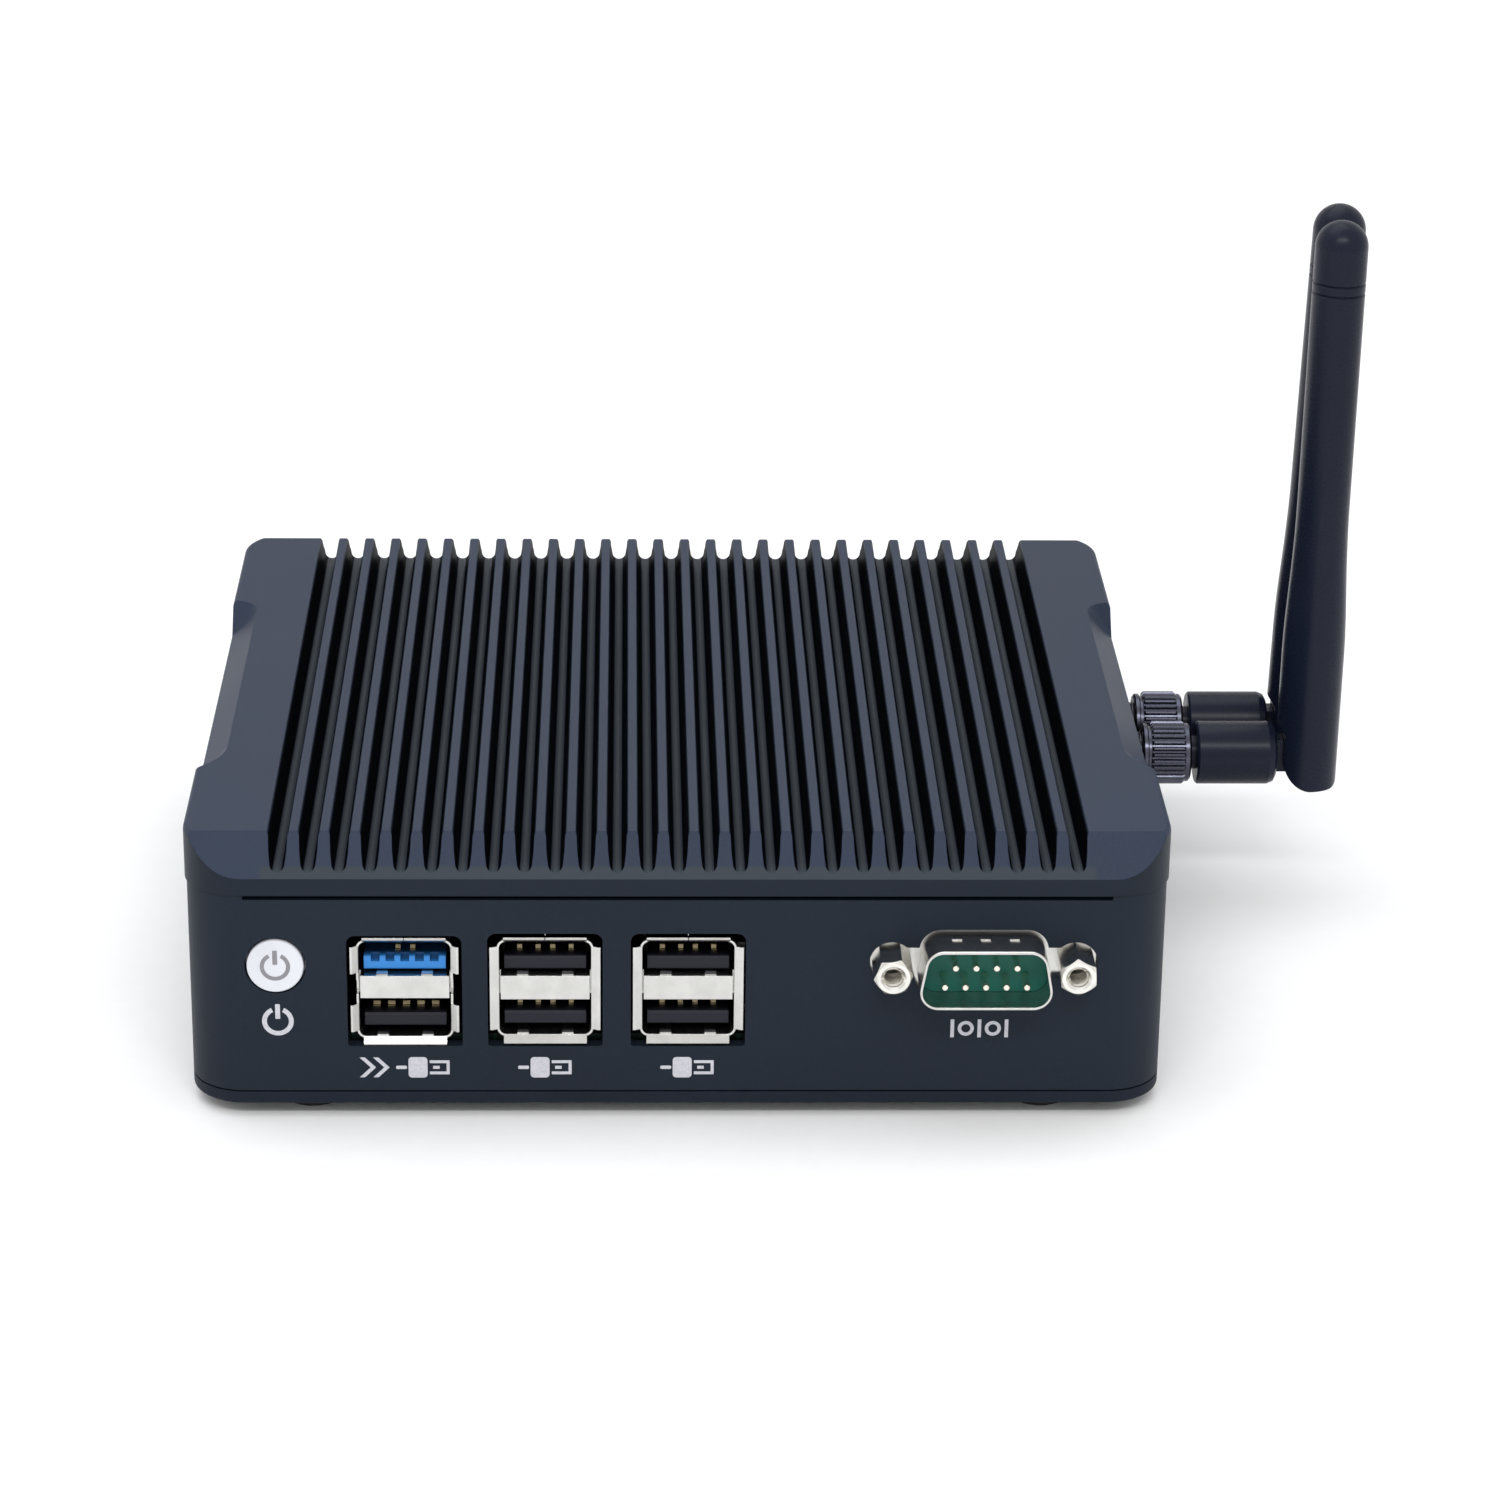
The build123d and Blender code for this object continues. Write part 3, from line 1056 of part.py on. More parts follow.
def lead_route(name):
    """Points of an aerial lead's route, from the wireless card's plug to the back of the jack."""
    x, y = LEAD_PLUGS[name]
    wall = (JACK_IN, ANTENNAS[name][0], ANTENNA_Z)
    if name == "front":
        middle = [(-14.0, y, LEAD_Z), (-4.0, -13.5, 16.5), (8.0, -14.0, 20.6), (24.0, -10.0, 22.6),
                  (38.0, 0.0, 22.4), (47.0, 8.6, 22.2)]
    else:
        middle = [(-8.0, y, LEAD_Z), (2.0, -14.5, 15.8), (14.0, -11.0, 19.0), (28.0, -2.5, 20.4),
                  (39.0, 8.0, 21.2), (47.5, 18.2, 21.8)]
    return [(x + LEAD_PLUG_R, y, LEAD_Z), *middle, (JACK_IN - 7.6, wall[1], wall[2]), wall]


def pigtail(name):
    """Thin aerial lead: straight runs joined by tangent arcs."""
    route = [Vector(*point) for point in lead_route(name)]
    radii = []
    for before, here, after in zip(route, route[1:], route[2:]):
        shorter = min((here - before).length, (after - here).length)
        turn = math.radians((here - before).get_angle(after - here))
        radii.append(0.45 * shorter / math.tan(turn / 2))
    print(name, "aerial lead radii", [round(radius, 1) for radius in radii])
    path = FilletPolyline(*route, radius=radii)
    section = Plane(origin=route[0], z_dir=route[1] - route[0]) * Circle(CABLE_R)
    return sweep(section, path=path)


def lead_plugs():
    """Small round plugs that the aerial leads end in, on the wireless card."""
    low = CARD_Z + CARD_THICK
    return [rod_z(x, y, (low, low + 1.6), LEAD_PLUG_R) for x, y in LEAD_PLUGS.values()]


# --- write every node -----------------------------------------------------------------------------
save("heatsink_lid", heatsink_lid())
save("main_frame", main_frame())
save("bottom_cover", bottom_cover())
save("rubber_feet", *rubber_feet())
save("case_screws", *case_screws())
save("power_button", power_button())
save("switch_plunger", switch_plunger())
save("power_switch", power_switch())
save("switch_board", switch_board())

for stack_name in USB_STACKS:
    save(f"{stack_name}_shell", usb_shell(stack_name))
upper, upper_top = usb_insulator("usb3", "upper", notched=True)
lower, lower_top = usb_insulator("usb3", "lower")
save("usb3_upper_tongue", upper)
save("usb3_lower_tongue", lower)
contacts = usb_contacts("usb3", [upper_top], [-1.0, 1.0], 0.7)
contacts += usb_contacts("usb3", [lower_top], FAST_CONTACT_X, 1.0)
for stack_name in ("usb2_left", "usb2_right"):
    upper, upper_top = usb_insulator(stack_name, "upper")
    lower, lower_top = usb_insulator(stack_name, "lower")
    save(f"{stack_name}_tongues", upper, lower)
    contacts += usb_contacts(stack_name, [upper_top, lower_top], USB_CONTACT_X, 0.7)
save("usb_contacts", *contacts)
save("serial_shell", serial_shell())
save("serial_insulator", serial_insulator())
save("connector_pins", *serial_pins(), inlet_pin())
save("jackscrews", *jackscrews())

save("power_inlet", power_inlet())
save("vga_shell", vga_shell())
save("vga_insulator", vga_insulator())
save("hdmi_shell", hdmi_shell())
save("hdmi_tongue", hdmi_tongue())
save("lan_jacks", *[lan_jack(x) for x in LAN_X])
save("lan_contacts", *[contact for x in LAN_X for contact in lan_contacts(x)])
save("audio_jacks", audio_jacks())

save("mainboard", mainboard())
save("board_standoffs", *board_standoffs())
save("board_screws", *board_screws())
save("processor_package", processor_package())
save("thermal_pad", thermal_pad())
save("heat_block", heat_block())
save("heat_block_screws", *heat_block_screws())
save("memory_socket", memory_socket())
save("memory_module", memory_module())
save("card_sockets", *card_sockets())
save("ssd_card", edge_card(SSD_X, SSD_Y))
save("wifi_card", edge_card(WIFI_X, WIFI_Y))
save("wifi_shield", wifi_shield())
save("card_screws", *card_screws())
save("coin_cell_holder", coin_cell_holder())
save("coin_cell", coin_cell())
save("power_inductors", *power_inductors())
save("board_capacitors", *board_capacitors())
save("chips", *board_chips(), *memory_chips(), *ssd_chips())

save("antenna_jacks", *[antenna_jack(y) for y, _, _ in ANTENNAS.values()])
save("antenna_lock_nuts", *[antenna_washer(y) for y, _, _ in ANTENNAS.values()],
     *[antenna_lock_nut(y, turn) for (y, _, _), turn in zip(ANTENNAS.values(), LOCKNUT_TURNS)])
save("aerial_leads", *[pigtail(name) for name in ANTENNAS])
save("lead_plugs", *lead_plugs())
for antenna_name in ANTENNAS:
    save(f"{antenna_name}_antenna_nut", Pos(0, ANTENNAS[antenna_name][0], ANTENNA_Z) * coupling_nut())
    save(f"{antenna_name}_antenna_sleeve", antenna_place(antenna_name) * sleeve())
    save(f"{antenna_name}_antenna_pin", antenna_place(antenna_name) * hinge_pin())
    save(f"{antenna_name}_antenna_blade", placed_blade(antenna_name))
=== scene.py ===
"""Looks of the mini computer: materials, printed symbols, contact springs, threads, light and camera."""
import json
import math

import bmesh
import bpy
from mathutils import Matrix, Vector


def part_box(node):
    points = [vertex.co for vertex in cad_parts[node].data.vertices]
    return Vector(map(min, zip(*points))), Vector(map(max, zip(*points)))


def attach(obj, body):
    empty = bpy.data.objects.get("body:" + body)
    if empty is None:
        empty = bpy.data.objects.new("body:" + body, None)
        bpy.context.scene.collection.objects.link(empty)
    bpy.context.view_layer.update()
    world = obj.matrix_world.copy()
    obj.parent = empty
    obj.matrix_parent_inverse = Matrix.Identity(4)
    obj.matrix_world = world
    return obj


MM = 0.001
CAMERA_PLACE = (-7.06, -620.51, 282.9)     # mm
CAMERA_TURN = (1.689, 22.402, 0.732)     # yaw, pitch down and roll in degrees
CAMERA_LENS = 109.1
STOREY_FLOORS = {                         # mm, floors of the two storeys of each USB stack
    "usb3": (9.98, 19.0),
    "usb2_left": (10.4, 19.15),
    "usb2_right": (10.4, 19.15),
}
SCREW_FROM_MIDDLE = 12.495 * MM           # half the spacing of the serial port's screws

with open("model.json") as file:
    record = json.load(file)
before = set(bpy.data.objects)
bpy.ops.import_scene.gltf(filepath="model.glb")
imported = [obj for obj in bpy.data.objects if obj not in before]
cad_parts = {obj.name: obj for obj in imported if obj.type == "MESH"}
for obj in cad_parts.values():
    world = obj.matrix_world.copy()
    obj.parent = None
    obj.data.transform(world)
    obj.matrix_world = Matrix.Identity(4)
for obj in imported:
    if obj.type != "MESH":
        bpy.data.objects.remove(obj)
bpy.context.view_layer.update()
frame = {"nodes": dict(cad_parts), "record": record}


CASE = "case"
FRAME_LOW, FRAME_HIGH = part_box("main_frame")
FLOOR_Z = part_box("rubber_feet")[0].z
LID_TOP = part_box("heatsink_lid")[1].z
OUTER_SLOT = 56.5 * MM            # the outermost slots end this far from the middle
# Painted shade inside the ports: (distance from the middle at the mouth, distance where it is darkest,
# darkest factor).
PORT_PAINTED_SHADE = (59.8 * MM, 55.5 * MM, 0.06)
PLASTIC_PAINTED_SHADE = (60.2 * MM, 57.8 * MM, 0.10)
CONTACT_PAINTED_SHADE = (59.5 * MM, 56.5 * MM, 0.16)
FRAME_COLOUR = (0.0112, 0.0160, 0.0255)
# Painted light: a paler, greyer colour for the floors of the lid's fin slots.
SLOT_FLOOR_PAINTED_LIGHT = (0.034, 0.042, 0.053)


# --- shader helpers -------------------------------------------------------------------------------
def add(tree, kind, inputs=None, **settings):
    """A new shader node. An input may be a plain value or another node's output."""
    made = tree.nodes.new(kind)
    for key, value in settings.items():
        setattr(made, key, value)
    for key, value in (inputs or {}).items():
        if isinstance(value, bpy.types.NodeSocket):
            tree.links.new(value, made.inputs[key])
        else:
            made.inputs[key].default_value = value
    return made


def new_material(name, **sockets):
    """A material with one Principled shader; the plain socket values are set directly on it."""
    made = bpy.data.materials.new(name)
    made.use_nodes = True
    shader = made.node_tree.nodes["Principled BSDF"]
    for key, value in sockets.items():
        shader.inputs[key.replace("_", " ")].default_value = value
    return made, made.node_tree, shader


def own_coordinates(tree, stretch=(1.0, 1.0, 1.0)):
    """Coordinates in metres that move with the piece, stretched along its axes."""
    place = add(tree, "ShaderNodeTexCoord").outputs["Object"]
    return add(tree, "ShaderNodeMapping", {"Vector": place, "Scale": stretch}).outputs["Vector"]


def noise(tree, place, size, detail=2.0, roughness=0.5):
    """Noise with features of about the given size in metres."""
    return add(tree, "ShaderNodeTexNoise", {
        "Vector": place, "Scale": 1.0 / size, "Detail": detail, "Roughness": roughness}).outputs["Fac"]


def remap(tree, value, low, high, to_low=0.0, to_high=1.0):
    return add(tree, "ShaderNodeMapRange", {
        "Value": value, "From Min": low, "From Max": high, "To Min": to_low, "To Max": to_high,
    }).outputs["Result"]


def multiply(tree, a, b):
    return add(tree, "ShaderNodeMath", {0: a, 1: b}, operation="MULTIPLY").outputs["Value"]


def between(tree, factor, a, b):
    """Mix two colours; each is a plain (r, g, b) or an output."""
    made = add(tree, "ShaderNodeMix", data_type="RGBA")
    tree.links.new(factor, made.inputs[0])
    for index, colour in ((6, a), (7, b)):
        if isinstance(colour, bpy.types.NodeSocket):
            tree.links.new(colour, made.inputs[index])
        else:
            made.inputs[index].default_value = (*colour, 1.0)
    return made.outputs[2]


def scaled(colour, factor):
    return tuple(min(1.0, value * factor) for value in colour)


def painted_depth_shade(tree, near, far, darkest):
    """Painted shade: a factor that falls from 1 at the ports' mouths to darkest inside the case."""
    y = add(tree, "ShaderNodeSeparateXYZ", {"Vector": own_coordinates(tree)}).outputs["Y"]
    away = add(tree, "ShaderNodeMath", {0: y}, operation="ABSOLUTE").outputs["Value"]
    return remap(tree, away, far, near, darkest, 1.0)


def darkened(tree, colour, factor):
    """A colour times a factor."""
    made = add(tree, "ShaderNodeVectorMath", {0: colour, "Scale": factor}, operation="SCALE")
    return made.outputs["Vector"]


def rounded_edges(tree, radius):
    """(normal that softens every edge, mask that is 1 along edges)."""
    soft = add(tree, "ShaderNodeBevel", {"Radius": radius}, samples=4).outputs["Normal"]
    flat = add(tree, "ShaderNodeNewGeometry").outputs["Normal"]
    same = add(tree, "ShaderNodeVectorMath", {0: soft, 1: flat}, operation="DOT_PRODUCT").outputs["Value"]
    return soft, remap(tree, same, 0.99, 0.82)


def bumped(tree, shader, height, depth, strength=1.0, normal=None):
    """Feed a height pattern, in metres of relief, to the shader's normal."""
    inputs = {"Height": height, "Distance": depth, "Strength": strength}
    if normal is not None:
        inputs["Normal"] = normal
    bump = add(tree, "ShaderNodeBump", inputs)
    tree.links.new(bump.outputs["Normal"], shader.inputs["Normal"])


# --- materials ------------------------------------------------------------------------------------
def lid_painted_light_and_shade_masks(tree):
    """Masks on the lid: (upright faces, side walls of the fin slots, floors of the fin slots), for painted
    shade on the upright faces and slot walls and painted light on the slot floors.
    """
    place = add(tree, "ShaderNodeSeparateXYZ", {"Vector": own_coordinates(tree)})
    facing = add(tree, "ShaderNodeSeparateXYZ", {"Vector": add(tree, "ShaderNodeTexCoord").outputs["Normal"]})

    def size(value):
        return add(tree, "ShaderNodeMath", {0: value}, operation="ABSOLUTE").outputs["Value"]

    upright = remap(tree, size(facing.outputs["Z"]), 0.4, 0.1)
    between_fins = remap(tree, size(place.outputs["X"]), OUTER_SLOT, OUTER_SLOT - 0.5 * MM)
    sideways = remap(tree, size(facing.outputs["X"]), 0.5, 0.62)
    below = remap(tree, place.outputs["Z"], LID_TOP - 0.05 * MM, LID_TOP - 0.5 * MM)
    walls = multiply(tree, multiply(tree, sideways, below), between_fins)
    deep = remap(tree, place.outputs["Z"], LID_TOP - 3.6 * MM, LID_TOP - 3.9 * MM)
    level = multiply(tree, remap(tree, sideways, 1.0, 0.0), remap(tree, upright, 1.0, 0.0))
    floors = multiply(tree, multiply(tree, level, deep), between_fins)
    return upright, walls, floors


def casework(name, colour, roughness, specular=0.5, edge=1.9, painted_upright_shade_colour=None):
    """Dark blasted and anodised metal: fine grain, cloudy tone, edges a little brighter from handling.

    With an upright colour given it is the finned lid: its upright faces and slot walls get painted shade,
    darker than its top, and its slot floors get painted light, paler than its top."""
    made, tree, shader = new_material(name, Specular_IOR_Level=specular)
    place = own_coordinates(tree)
    cloud = noise(tree, place, 40 * MM, 3.0)
    grain = noise(tree, place, 0.28 * MM, 3.0, 0.65)
    speck = noise(tree, place, 0.9 * MM, 2.0)
    soft, edges = rounded_edges(tree, 0.22 * MM)
    tone = between(tree, remap(tree, cloud, 0.3, 0.7), scaled(colour, 0.9), scaled(colour, 1.12))
    tone = between(tree, remap(tree, grain, 0.35, 0.7, 0.0, 0.35), tone, scaled(colour, 1.5))
    wear = multiply(tree, edges, remap(tree, speck, 0.38, 0.62, 0.25, 1.0))
    tone = between(tree, wear, tone, scaled(colour, edge))
    if painted_upright_shade_colour:
        upright, walls, floors = lid_painted_light_and_shade_masks(tree)
        # Painted shade: upright faces in the frame's darker colour, slot walls near black with their
        # reflection turned down; painted light: slot floors paler.
        tone = between(tree, upright, tone, painted_upright_shade_colour)
        tone = between(tree, floors, tone, SLOT_FLOOR_PAINTED_LIGHT)
        tone = between(tree, walls, tone, scaled(colour, 0.06))
        tree.links.new(remap(tree, walls, 0.0, 1.0, specular, 0.01),
                       shader.inputs["Specular IOR Level"])
    tree.links.new(tone, shader.inputs["Base Color"])
    rough = remap(tree, cloud, 0.3, 0.7, roughness - 0.03, roughness + 0.04)
    tree.links.new(rough, shader.inputs["Roughness"])
    bumped(tree, shader, grain, 0.012 * MM, 0.6, soft)
    return made


def moulded(name, colour, roughness, grain_size=0.25 * MM, relief=0.006 * MM, specular=0.5, edge=1.3,
            painted_shade=None):
    """Moulded plastic or rubber: spark-eroded skin, slight tone drift."""
    made, tree, shader = new_material(name, Specular_IOR_Level=specular)
    place = own_coordinates(tree)
    drift = noise(tree, place, 15 * MM, 2.0)
    grain = noise(tree, place, grain_size, 2.0, 0.6)
    soft, edges = rounded_edges(tree, 0.12 * MM)
    tone = between(tree, remap(tree, drift, 0.3, 0.7), scaled(colour, 0.92), scaled(colour, 1.08))
    tone = between(tree, edges, tone, scaled(colour, edge))
    # Painted shade: the colour darkens deeper inside the ports.
    if painted_shade:
        tone = darkened(tree, tone, painted_depth_shade(tree, *painted_shade))
    tree.links.new(tone, shader.inputs["Base Color"])
    rough = remap(tree, grain, 0.3, 0.7, roughness - 0.04, roughness + 0.05)
    tree.links.new(rough, shader.inputs["Roughness"])
    bumped(tree, shader, grain, relief, 0.7, soft)
    return made


def plated(name, colour, roughness, edge_radius=0.08 * MM, scratch=0.10, painted_shade=None):
    """Plated sheet metal: drawn lines along its depth, uneven gloss and dull smudges."""
    made, tree, shader = new_material(name, Metallic=1.0)
    lines = noise(tree, own_coordinates(tree, (1.0, 0.06, 1.0)), 0.16 * MM, 2.0)
    smudge = noise(tree, own_coordinates(tree), 3.2 * MM, 4.0, 0.6)
    soft, edges = rounded_edges(tree, edge_radius)
    tone = between(tree, remap(tree, smudge, 0.35, 0.7), colour, scaled(colour, 0.86))
    tone = between(tree, edges, tone, scaled(colour, 1.08))
    # Painted shade: the colour darkens deeper inside the ports.
    if painted_shade:
        tone = darkened(tree, tone, painted_depth_shade(tree, *painted_shade))
    tree.links.new(tone, shader.inputs["Base Color"])
    gloss = remap(tree, smudge, 0.35, 0.75, roughness, roughness + scratch)
    tree.links.new(gloss, shader.inputs["Roughness"])
    bumped(tree, shader, lines, 0.002 * MM, 0.5, soft)
    return made


def milled(name, colour, roughness):
    """Machined metal with cutter lines."""
    made, tree, shader = new_material(name, Metallic=1.0)
    place = own_coordinates(tree)
    wobble = noise(tree, place, 4 * MM, 2.0)
    lines = add(tree, "ShaderNodeTexWave", {
        "Vector": place, "Scale": 1.0 / (2.2 * MM), "Distortion": 0.6, "Detail": 2.0}, bands_direction="X")
    tone = between(tree, remap(tree, wobble, 0.3, 0.7), scaled(colour, 0.9), colour)
    tree.links.new(tone, shader.inputs["Base Color"])
    tree.links.new(remap(tree, wobble, 0.3, 0.7, roughness, roughness + 0.1), shader.inputs["Roughness"])
    soft, _ = rounded_edges(tree, 0.2 * MM)
    bumped(tree, shader, lines.outputs["Fac"], 0.006 * MM, 0.5, soft)
    return made


def circuit_board(name):
    """Green solder resist with paler copper runs and a faint glass weave."""
    made, tree, shader = new_material(name, Roughness=0.38)
    place = own_coordinates(tree)
    weave = add(tree, "ShaderNodeTexWave", {"Vector": place, "Scale": 1.0 / (1.6 * MM)},
                bands_direction="DIAGONAL")
    runs = add(tree, "ShaderNodeTexBrick", {
        "Vector": place, "Scale": 1.0 / (3.2 * MM), "Mortar Size": 0.06,
        "Brick Width": 2.6, "Row Height": 0.5, "Color1": (0, 0, 0, 1), "Color2": (0, 0, 0, 1),
        "Mortar": (1, 1, 1, 1)}, offset=0.37)
    blotch = noise(tree, place, 6 * MM, 2.0)
    copper = multiply(tree, runs.outputs["Color"], remap(tree, blotch, 0.45, 0.55))
    resist = between(tree, weave.outputs["Fac"], (0.003, 0.012, 0.008), (0.004, 0.016, 0.010))
    tree.links.new(between(tree, copper, resist, (0.008, 0.04, 0.022)), shader.inputs["Base Color"])
    bumped(tree, shader, copper, 0.03 * MM, 0.8)
    return made


def printed_ink(name, colour):
    """Screen-printed ink: slightly uneven cover and a dry surface."""
    made, tree, shader = new_material(name, Roughness=0.6)
    place = own_coordinates(tree)
    cover = noise(tree, place, 0.35 * MM, 3.0, 0.7)
    tone = between(tree, remap(tree, cover, 0.3, 0.6), scaled(colour, 0.82), colour)
    tree.links.new(tone, shader.inputs["Base Color"])
    bumped(tree, shader, cover, 0.004 * MM, 0.5)
    return made


MATERIALS = {
    # The lid's upright faces get the frame's colour as painted shade.
    "lid_metal": casework("lid_anodised", (0.0215, 0.0300, 0.0520), 0.46, 0.13, 1.6, FRAME_COLOUR),
    "frame_metal": casework("frame_anodised", FRAME_COLOUR, 0.50, 0.12, 1.8),
    "cover_metal": casework("cover_anodised", (0.0100, 0.0140, 0.0230), 0.50, 0.10, 1.8),
    "foot_rubber": moulded("foot_rubber", (0.012, 0.012, 0.013), 0.75, 0.5 * MM, 0.02 * MM),
    "black_screw": plated("screw_black_oxide", (0.06, 0.06, 0.065), 0.38),
    "button_plastic": moulded("button_silver", (0.66, 0.67, 0.72), 0.34, 0.2 * MM, 0.003 * MM, edge=1.05),
    # The black and blue nylon get painted shade deeper inside the ports.
    "black_plastic": moulded("black_nylon", (0.012, 0.012, 0.021), 0.42, specular=0.25, painted_shade=PLASTIC_PAINTED_SHADE),
    "blue_plastic": moulded("blue_nylon", (0.040, 0.27, 0.74), 0.36, specular=0.3, painted_shade=PLASTIC_PAINTED_SHADE),
    "teal_plastic": moulded("teal_nylon", (0.004, 0.115, 0.085), 0.40, 0.3 * MM, specular=0.3),
    "video_blue_plastic": moulded("video_blue_nylon", (0.01, 0.035, 0.25), 0.42, 0.3 * MM),
    # The port nickel and the contact gold get painted shade deeper inside the ports.
    "connector_nickel": plated("satin_nickel", (0.67, 0.66, 0.635), 0.22, scratch=0.04, painted_shade=PORT_PAINTED_SHADE),
    "contact_gold": plated("contact_gold", (0.85, 0.70, 0.42), 0.26, painted_shade=CONTACT_PAINTED_SHADE),
    "pin_metal": plated("bright_pins", (0.93, 0.90, 0.78), 0.20),
    "jackscrew_nickel": plated("bright_nickel", (0.85, 0.83, 0.78), 0.16),
    "circuit_board": circuit_board("solder_resist"),
    "chip_black": moulded("chip_epoxy", (0.02, 0.02, 0.021), 0.55, 0.2 * MM),
    "block_aluminium": milled("milled_aluminium", (0.80, 0.81, 0.83), 0.3),
    "steel": milled("zinc_steel", (0.66, 0.66, 0.64), 0.32),
    "pad_grey": moulded("thermal_pad", (0.18, 0.20, 0.30), 0.8, 0.4 * MM, 0.03 * MM),
    "capacitor_can": plated("capacitor_can", (0.78, 0.78, 0.80), 0.3),
    "coil_grey": moulded("ferrite", (0.035, 0.035, 0.037), 0.6, 0.3 * MM),
    "lead_sheath": moulded("lead_sheath", (0.012, 0.012, 0.013), 0.35, 0.3 * MM),
    "black_nickel": plated("black_nickel", (0.085, 0.085, 0.10), 0.24),
    "antenna_black": moulded("antenna_satin", (0.0065, 0.0092, 0.0205), 0.29, 0.22 * MM, 0.003 * MM,
                             specular=0.17),
    "nut_black": plated("black_plated_nut", (0.085, 0.088, 0.115), 0.22),
}
INK = printed_ink("label_ink", (0.55, 0.55, 0.60))
BUTTON_INK = printed_ink("button_ink", (0.24, 0.24, 0.26))

for row in frame["record"]["subparts"]:
    node = frame["nodes"][row["node"]]
    if not node.material_slots:
        node.data.materials.append(None)
    for slot in node.material_slots:
        slot.material = MATERIALS[row["material_slot"]]


# --- mesh helpers ---------------------------------------------------------------------------------
def put_in_scene(name, data):
    """A new object for the given mesh, light or camera data."""
    made = bpy.data.objects.new(name, data)
    bpy.context.scene.collection.objects.link(made)
    return made


def finish_piece(name, mesh, material, body):
    """Turn a bmesh into a piece that rides on a body."""
    bmesh.ops.recalc_face_normals(mesh, faces=mesh.faces)
    data = bpy.data.meshes.new(name)
    mesh.to_mesh(data)
    mesh.free()
    data.materials.append(material)
    piece = put_in_scene(name, data)
    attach(piece, body)
    return piece


def raise_outline(mesh, points, place, thick):
    """Add a closed prism. points are (across, up); place turns (across, up, out) into the row frame."""
    front = [mesh.verts.new(place(across, up, thick)) for across, up in points]
    back = [mesh.verts.new(place(across, up, -0.01 * MM)) for across, up in points]
    mesh.faces.new(front)
    mesh.faces.new(reversed(back))
    for i in range(len(points)):
        j = (i + 1) % len(points)
        mesh.faces.new((front[j], front[i], back[i], back[j]))


def arc(centre, radius, start, end, steps):
    """Points on a circle between two angles in degrees."""
    points = []
    for i in range(steps + 1):
        angle = math.radians(start + (end - start) * i / steps)
        points.append((centre[0] + radius * math.cos(angle), centre[1] + radius * math.sin(angle)))
    return points


def ring(centre, outer, stroke, start=0.0, end=360.0, steps=48):
    """Outline of a ring, or of a part of one, as a single closed loop of points."""
    outside = arc(centre, outer, start, end, steps)
    inside = arc(centre, outer - stroke, start, end, steps)
    return outside + inside[::-1]


def bar(centre, wide, high, radius=0.0, steps=5):
    """A rectangle with rounded corners."""
    x, z = centre
    if radius <= 0:
        return [(x - wide / 2, z - high / 2), (x + wide / 2, z - high / 2),
                (x + wide / 2, z + high / 2), (x - wide / 2, z + high / 2)]
    points = []
    for sx, sz, start in ((1, 1, 0), (-1, 1, 90), (-1, -1, 180), (1, -1, 270)):
        corner = (x + sx * (wide / 2 - radius), z + sz * (high / 2 - radius))
        points += arc(corner, radius, start, start + 90, steps)
    return points


def outlined(centre, wide, high, stroke):
    """A rectangle's outline as four bars."""
    x, z = centre
    return [bar((x, z + high / 2 - stroke / 2), wide, stroke),
            bar((x, z - high / 2 + stroke / 2), wide, stroke),
            bar((x - wide / 2 + stroke / 2, z), stroke, high - 2 * stroke),
            bar((x + wide / 2 - stroke / 2, z), stroke, high - 2 * stroke)]


def on_front(x, z, y):
    """Placer for symbols on a face that looks towards -Y."""
    return lambda across, up, out: (x + across, y - out, z + up)


def on_rear(x, z, y):
    """Placer for symbols on a face that looks towards +Y, so across runs to -X."""
    return lambda across, up, out: (x - across, y + out, z + up)


def symbol(name, shapes, place, material=INK, body=CASE, thick=0.03 * MM):
    """A printed symbol; its shapes are given in millimetres."""
    mesh = bmesh.new()
    for shape in shapes:
        raise_outline(mesh, [(across * MM, up * MM) for across, up in shape], place, thick)
    return finish_piece(name, mesh, material, body)


# --- printed symbols ------------------------------------------------------------------------------
def standby_shapes(outer, stroke, gap, stem, stem_low, stem_high):
    """An open ring with an upright stroke in the gap."""
    return [ring((0, 0), outer, stroke, 90 + gap, 450 - gap),
            bar((0, (stem_low + stem_high) / 2), stem, stem_high - stem_low, 0.12)]


def plug_shapes(shift=0.0):
    """A generic cable plug seen from the side: lead, grip, shell and two windows."""
    return [
        bar((shift - 3.0, 0), 1.5, 0.5, 0.2),
        bar((shift - 0.75, 0), 2.6, 3.1, 0.5),
        bar((shift + 2.2, 0.85), 2.7, 0.42), bar((shift + 2.2, -0.85), 2.7, 0.42),
        bar((shift + 3.35, 0), 0.42, 1.28),
        bar((shift + 1.75, 0), 0.9, 0.45),
    ]


def chevron(x, reach=1.5, high=3.0, stroke=0.72):
    """An arrowhead that points to the right."""
    return [(x, high / 2), (x + reach, 0), (x, -high / 2), (x + stroke, -high / 2),
            (x + reach + stroke, 0), (x + stroke, high / 2)]


def serial_shapes():
    """Bars and rings in a row: serial data."""
    high = 2.7
    shapes = [bar((x, 0), 0.5, high) for x in (-3.7, 0.0, 3.7)]
    return shapes + [ring((x, 0), high / 2 * 0.82, 0.48) for x in (-1.85, 1.85)]


FRONT_Y = FRAME_LOW.y
REAR_Y = FRAME_HIGH.y
LABEL_Z = 5.6 * MM


def centre_of(node):
    low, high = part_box(node)
    return (low + high) / 2


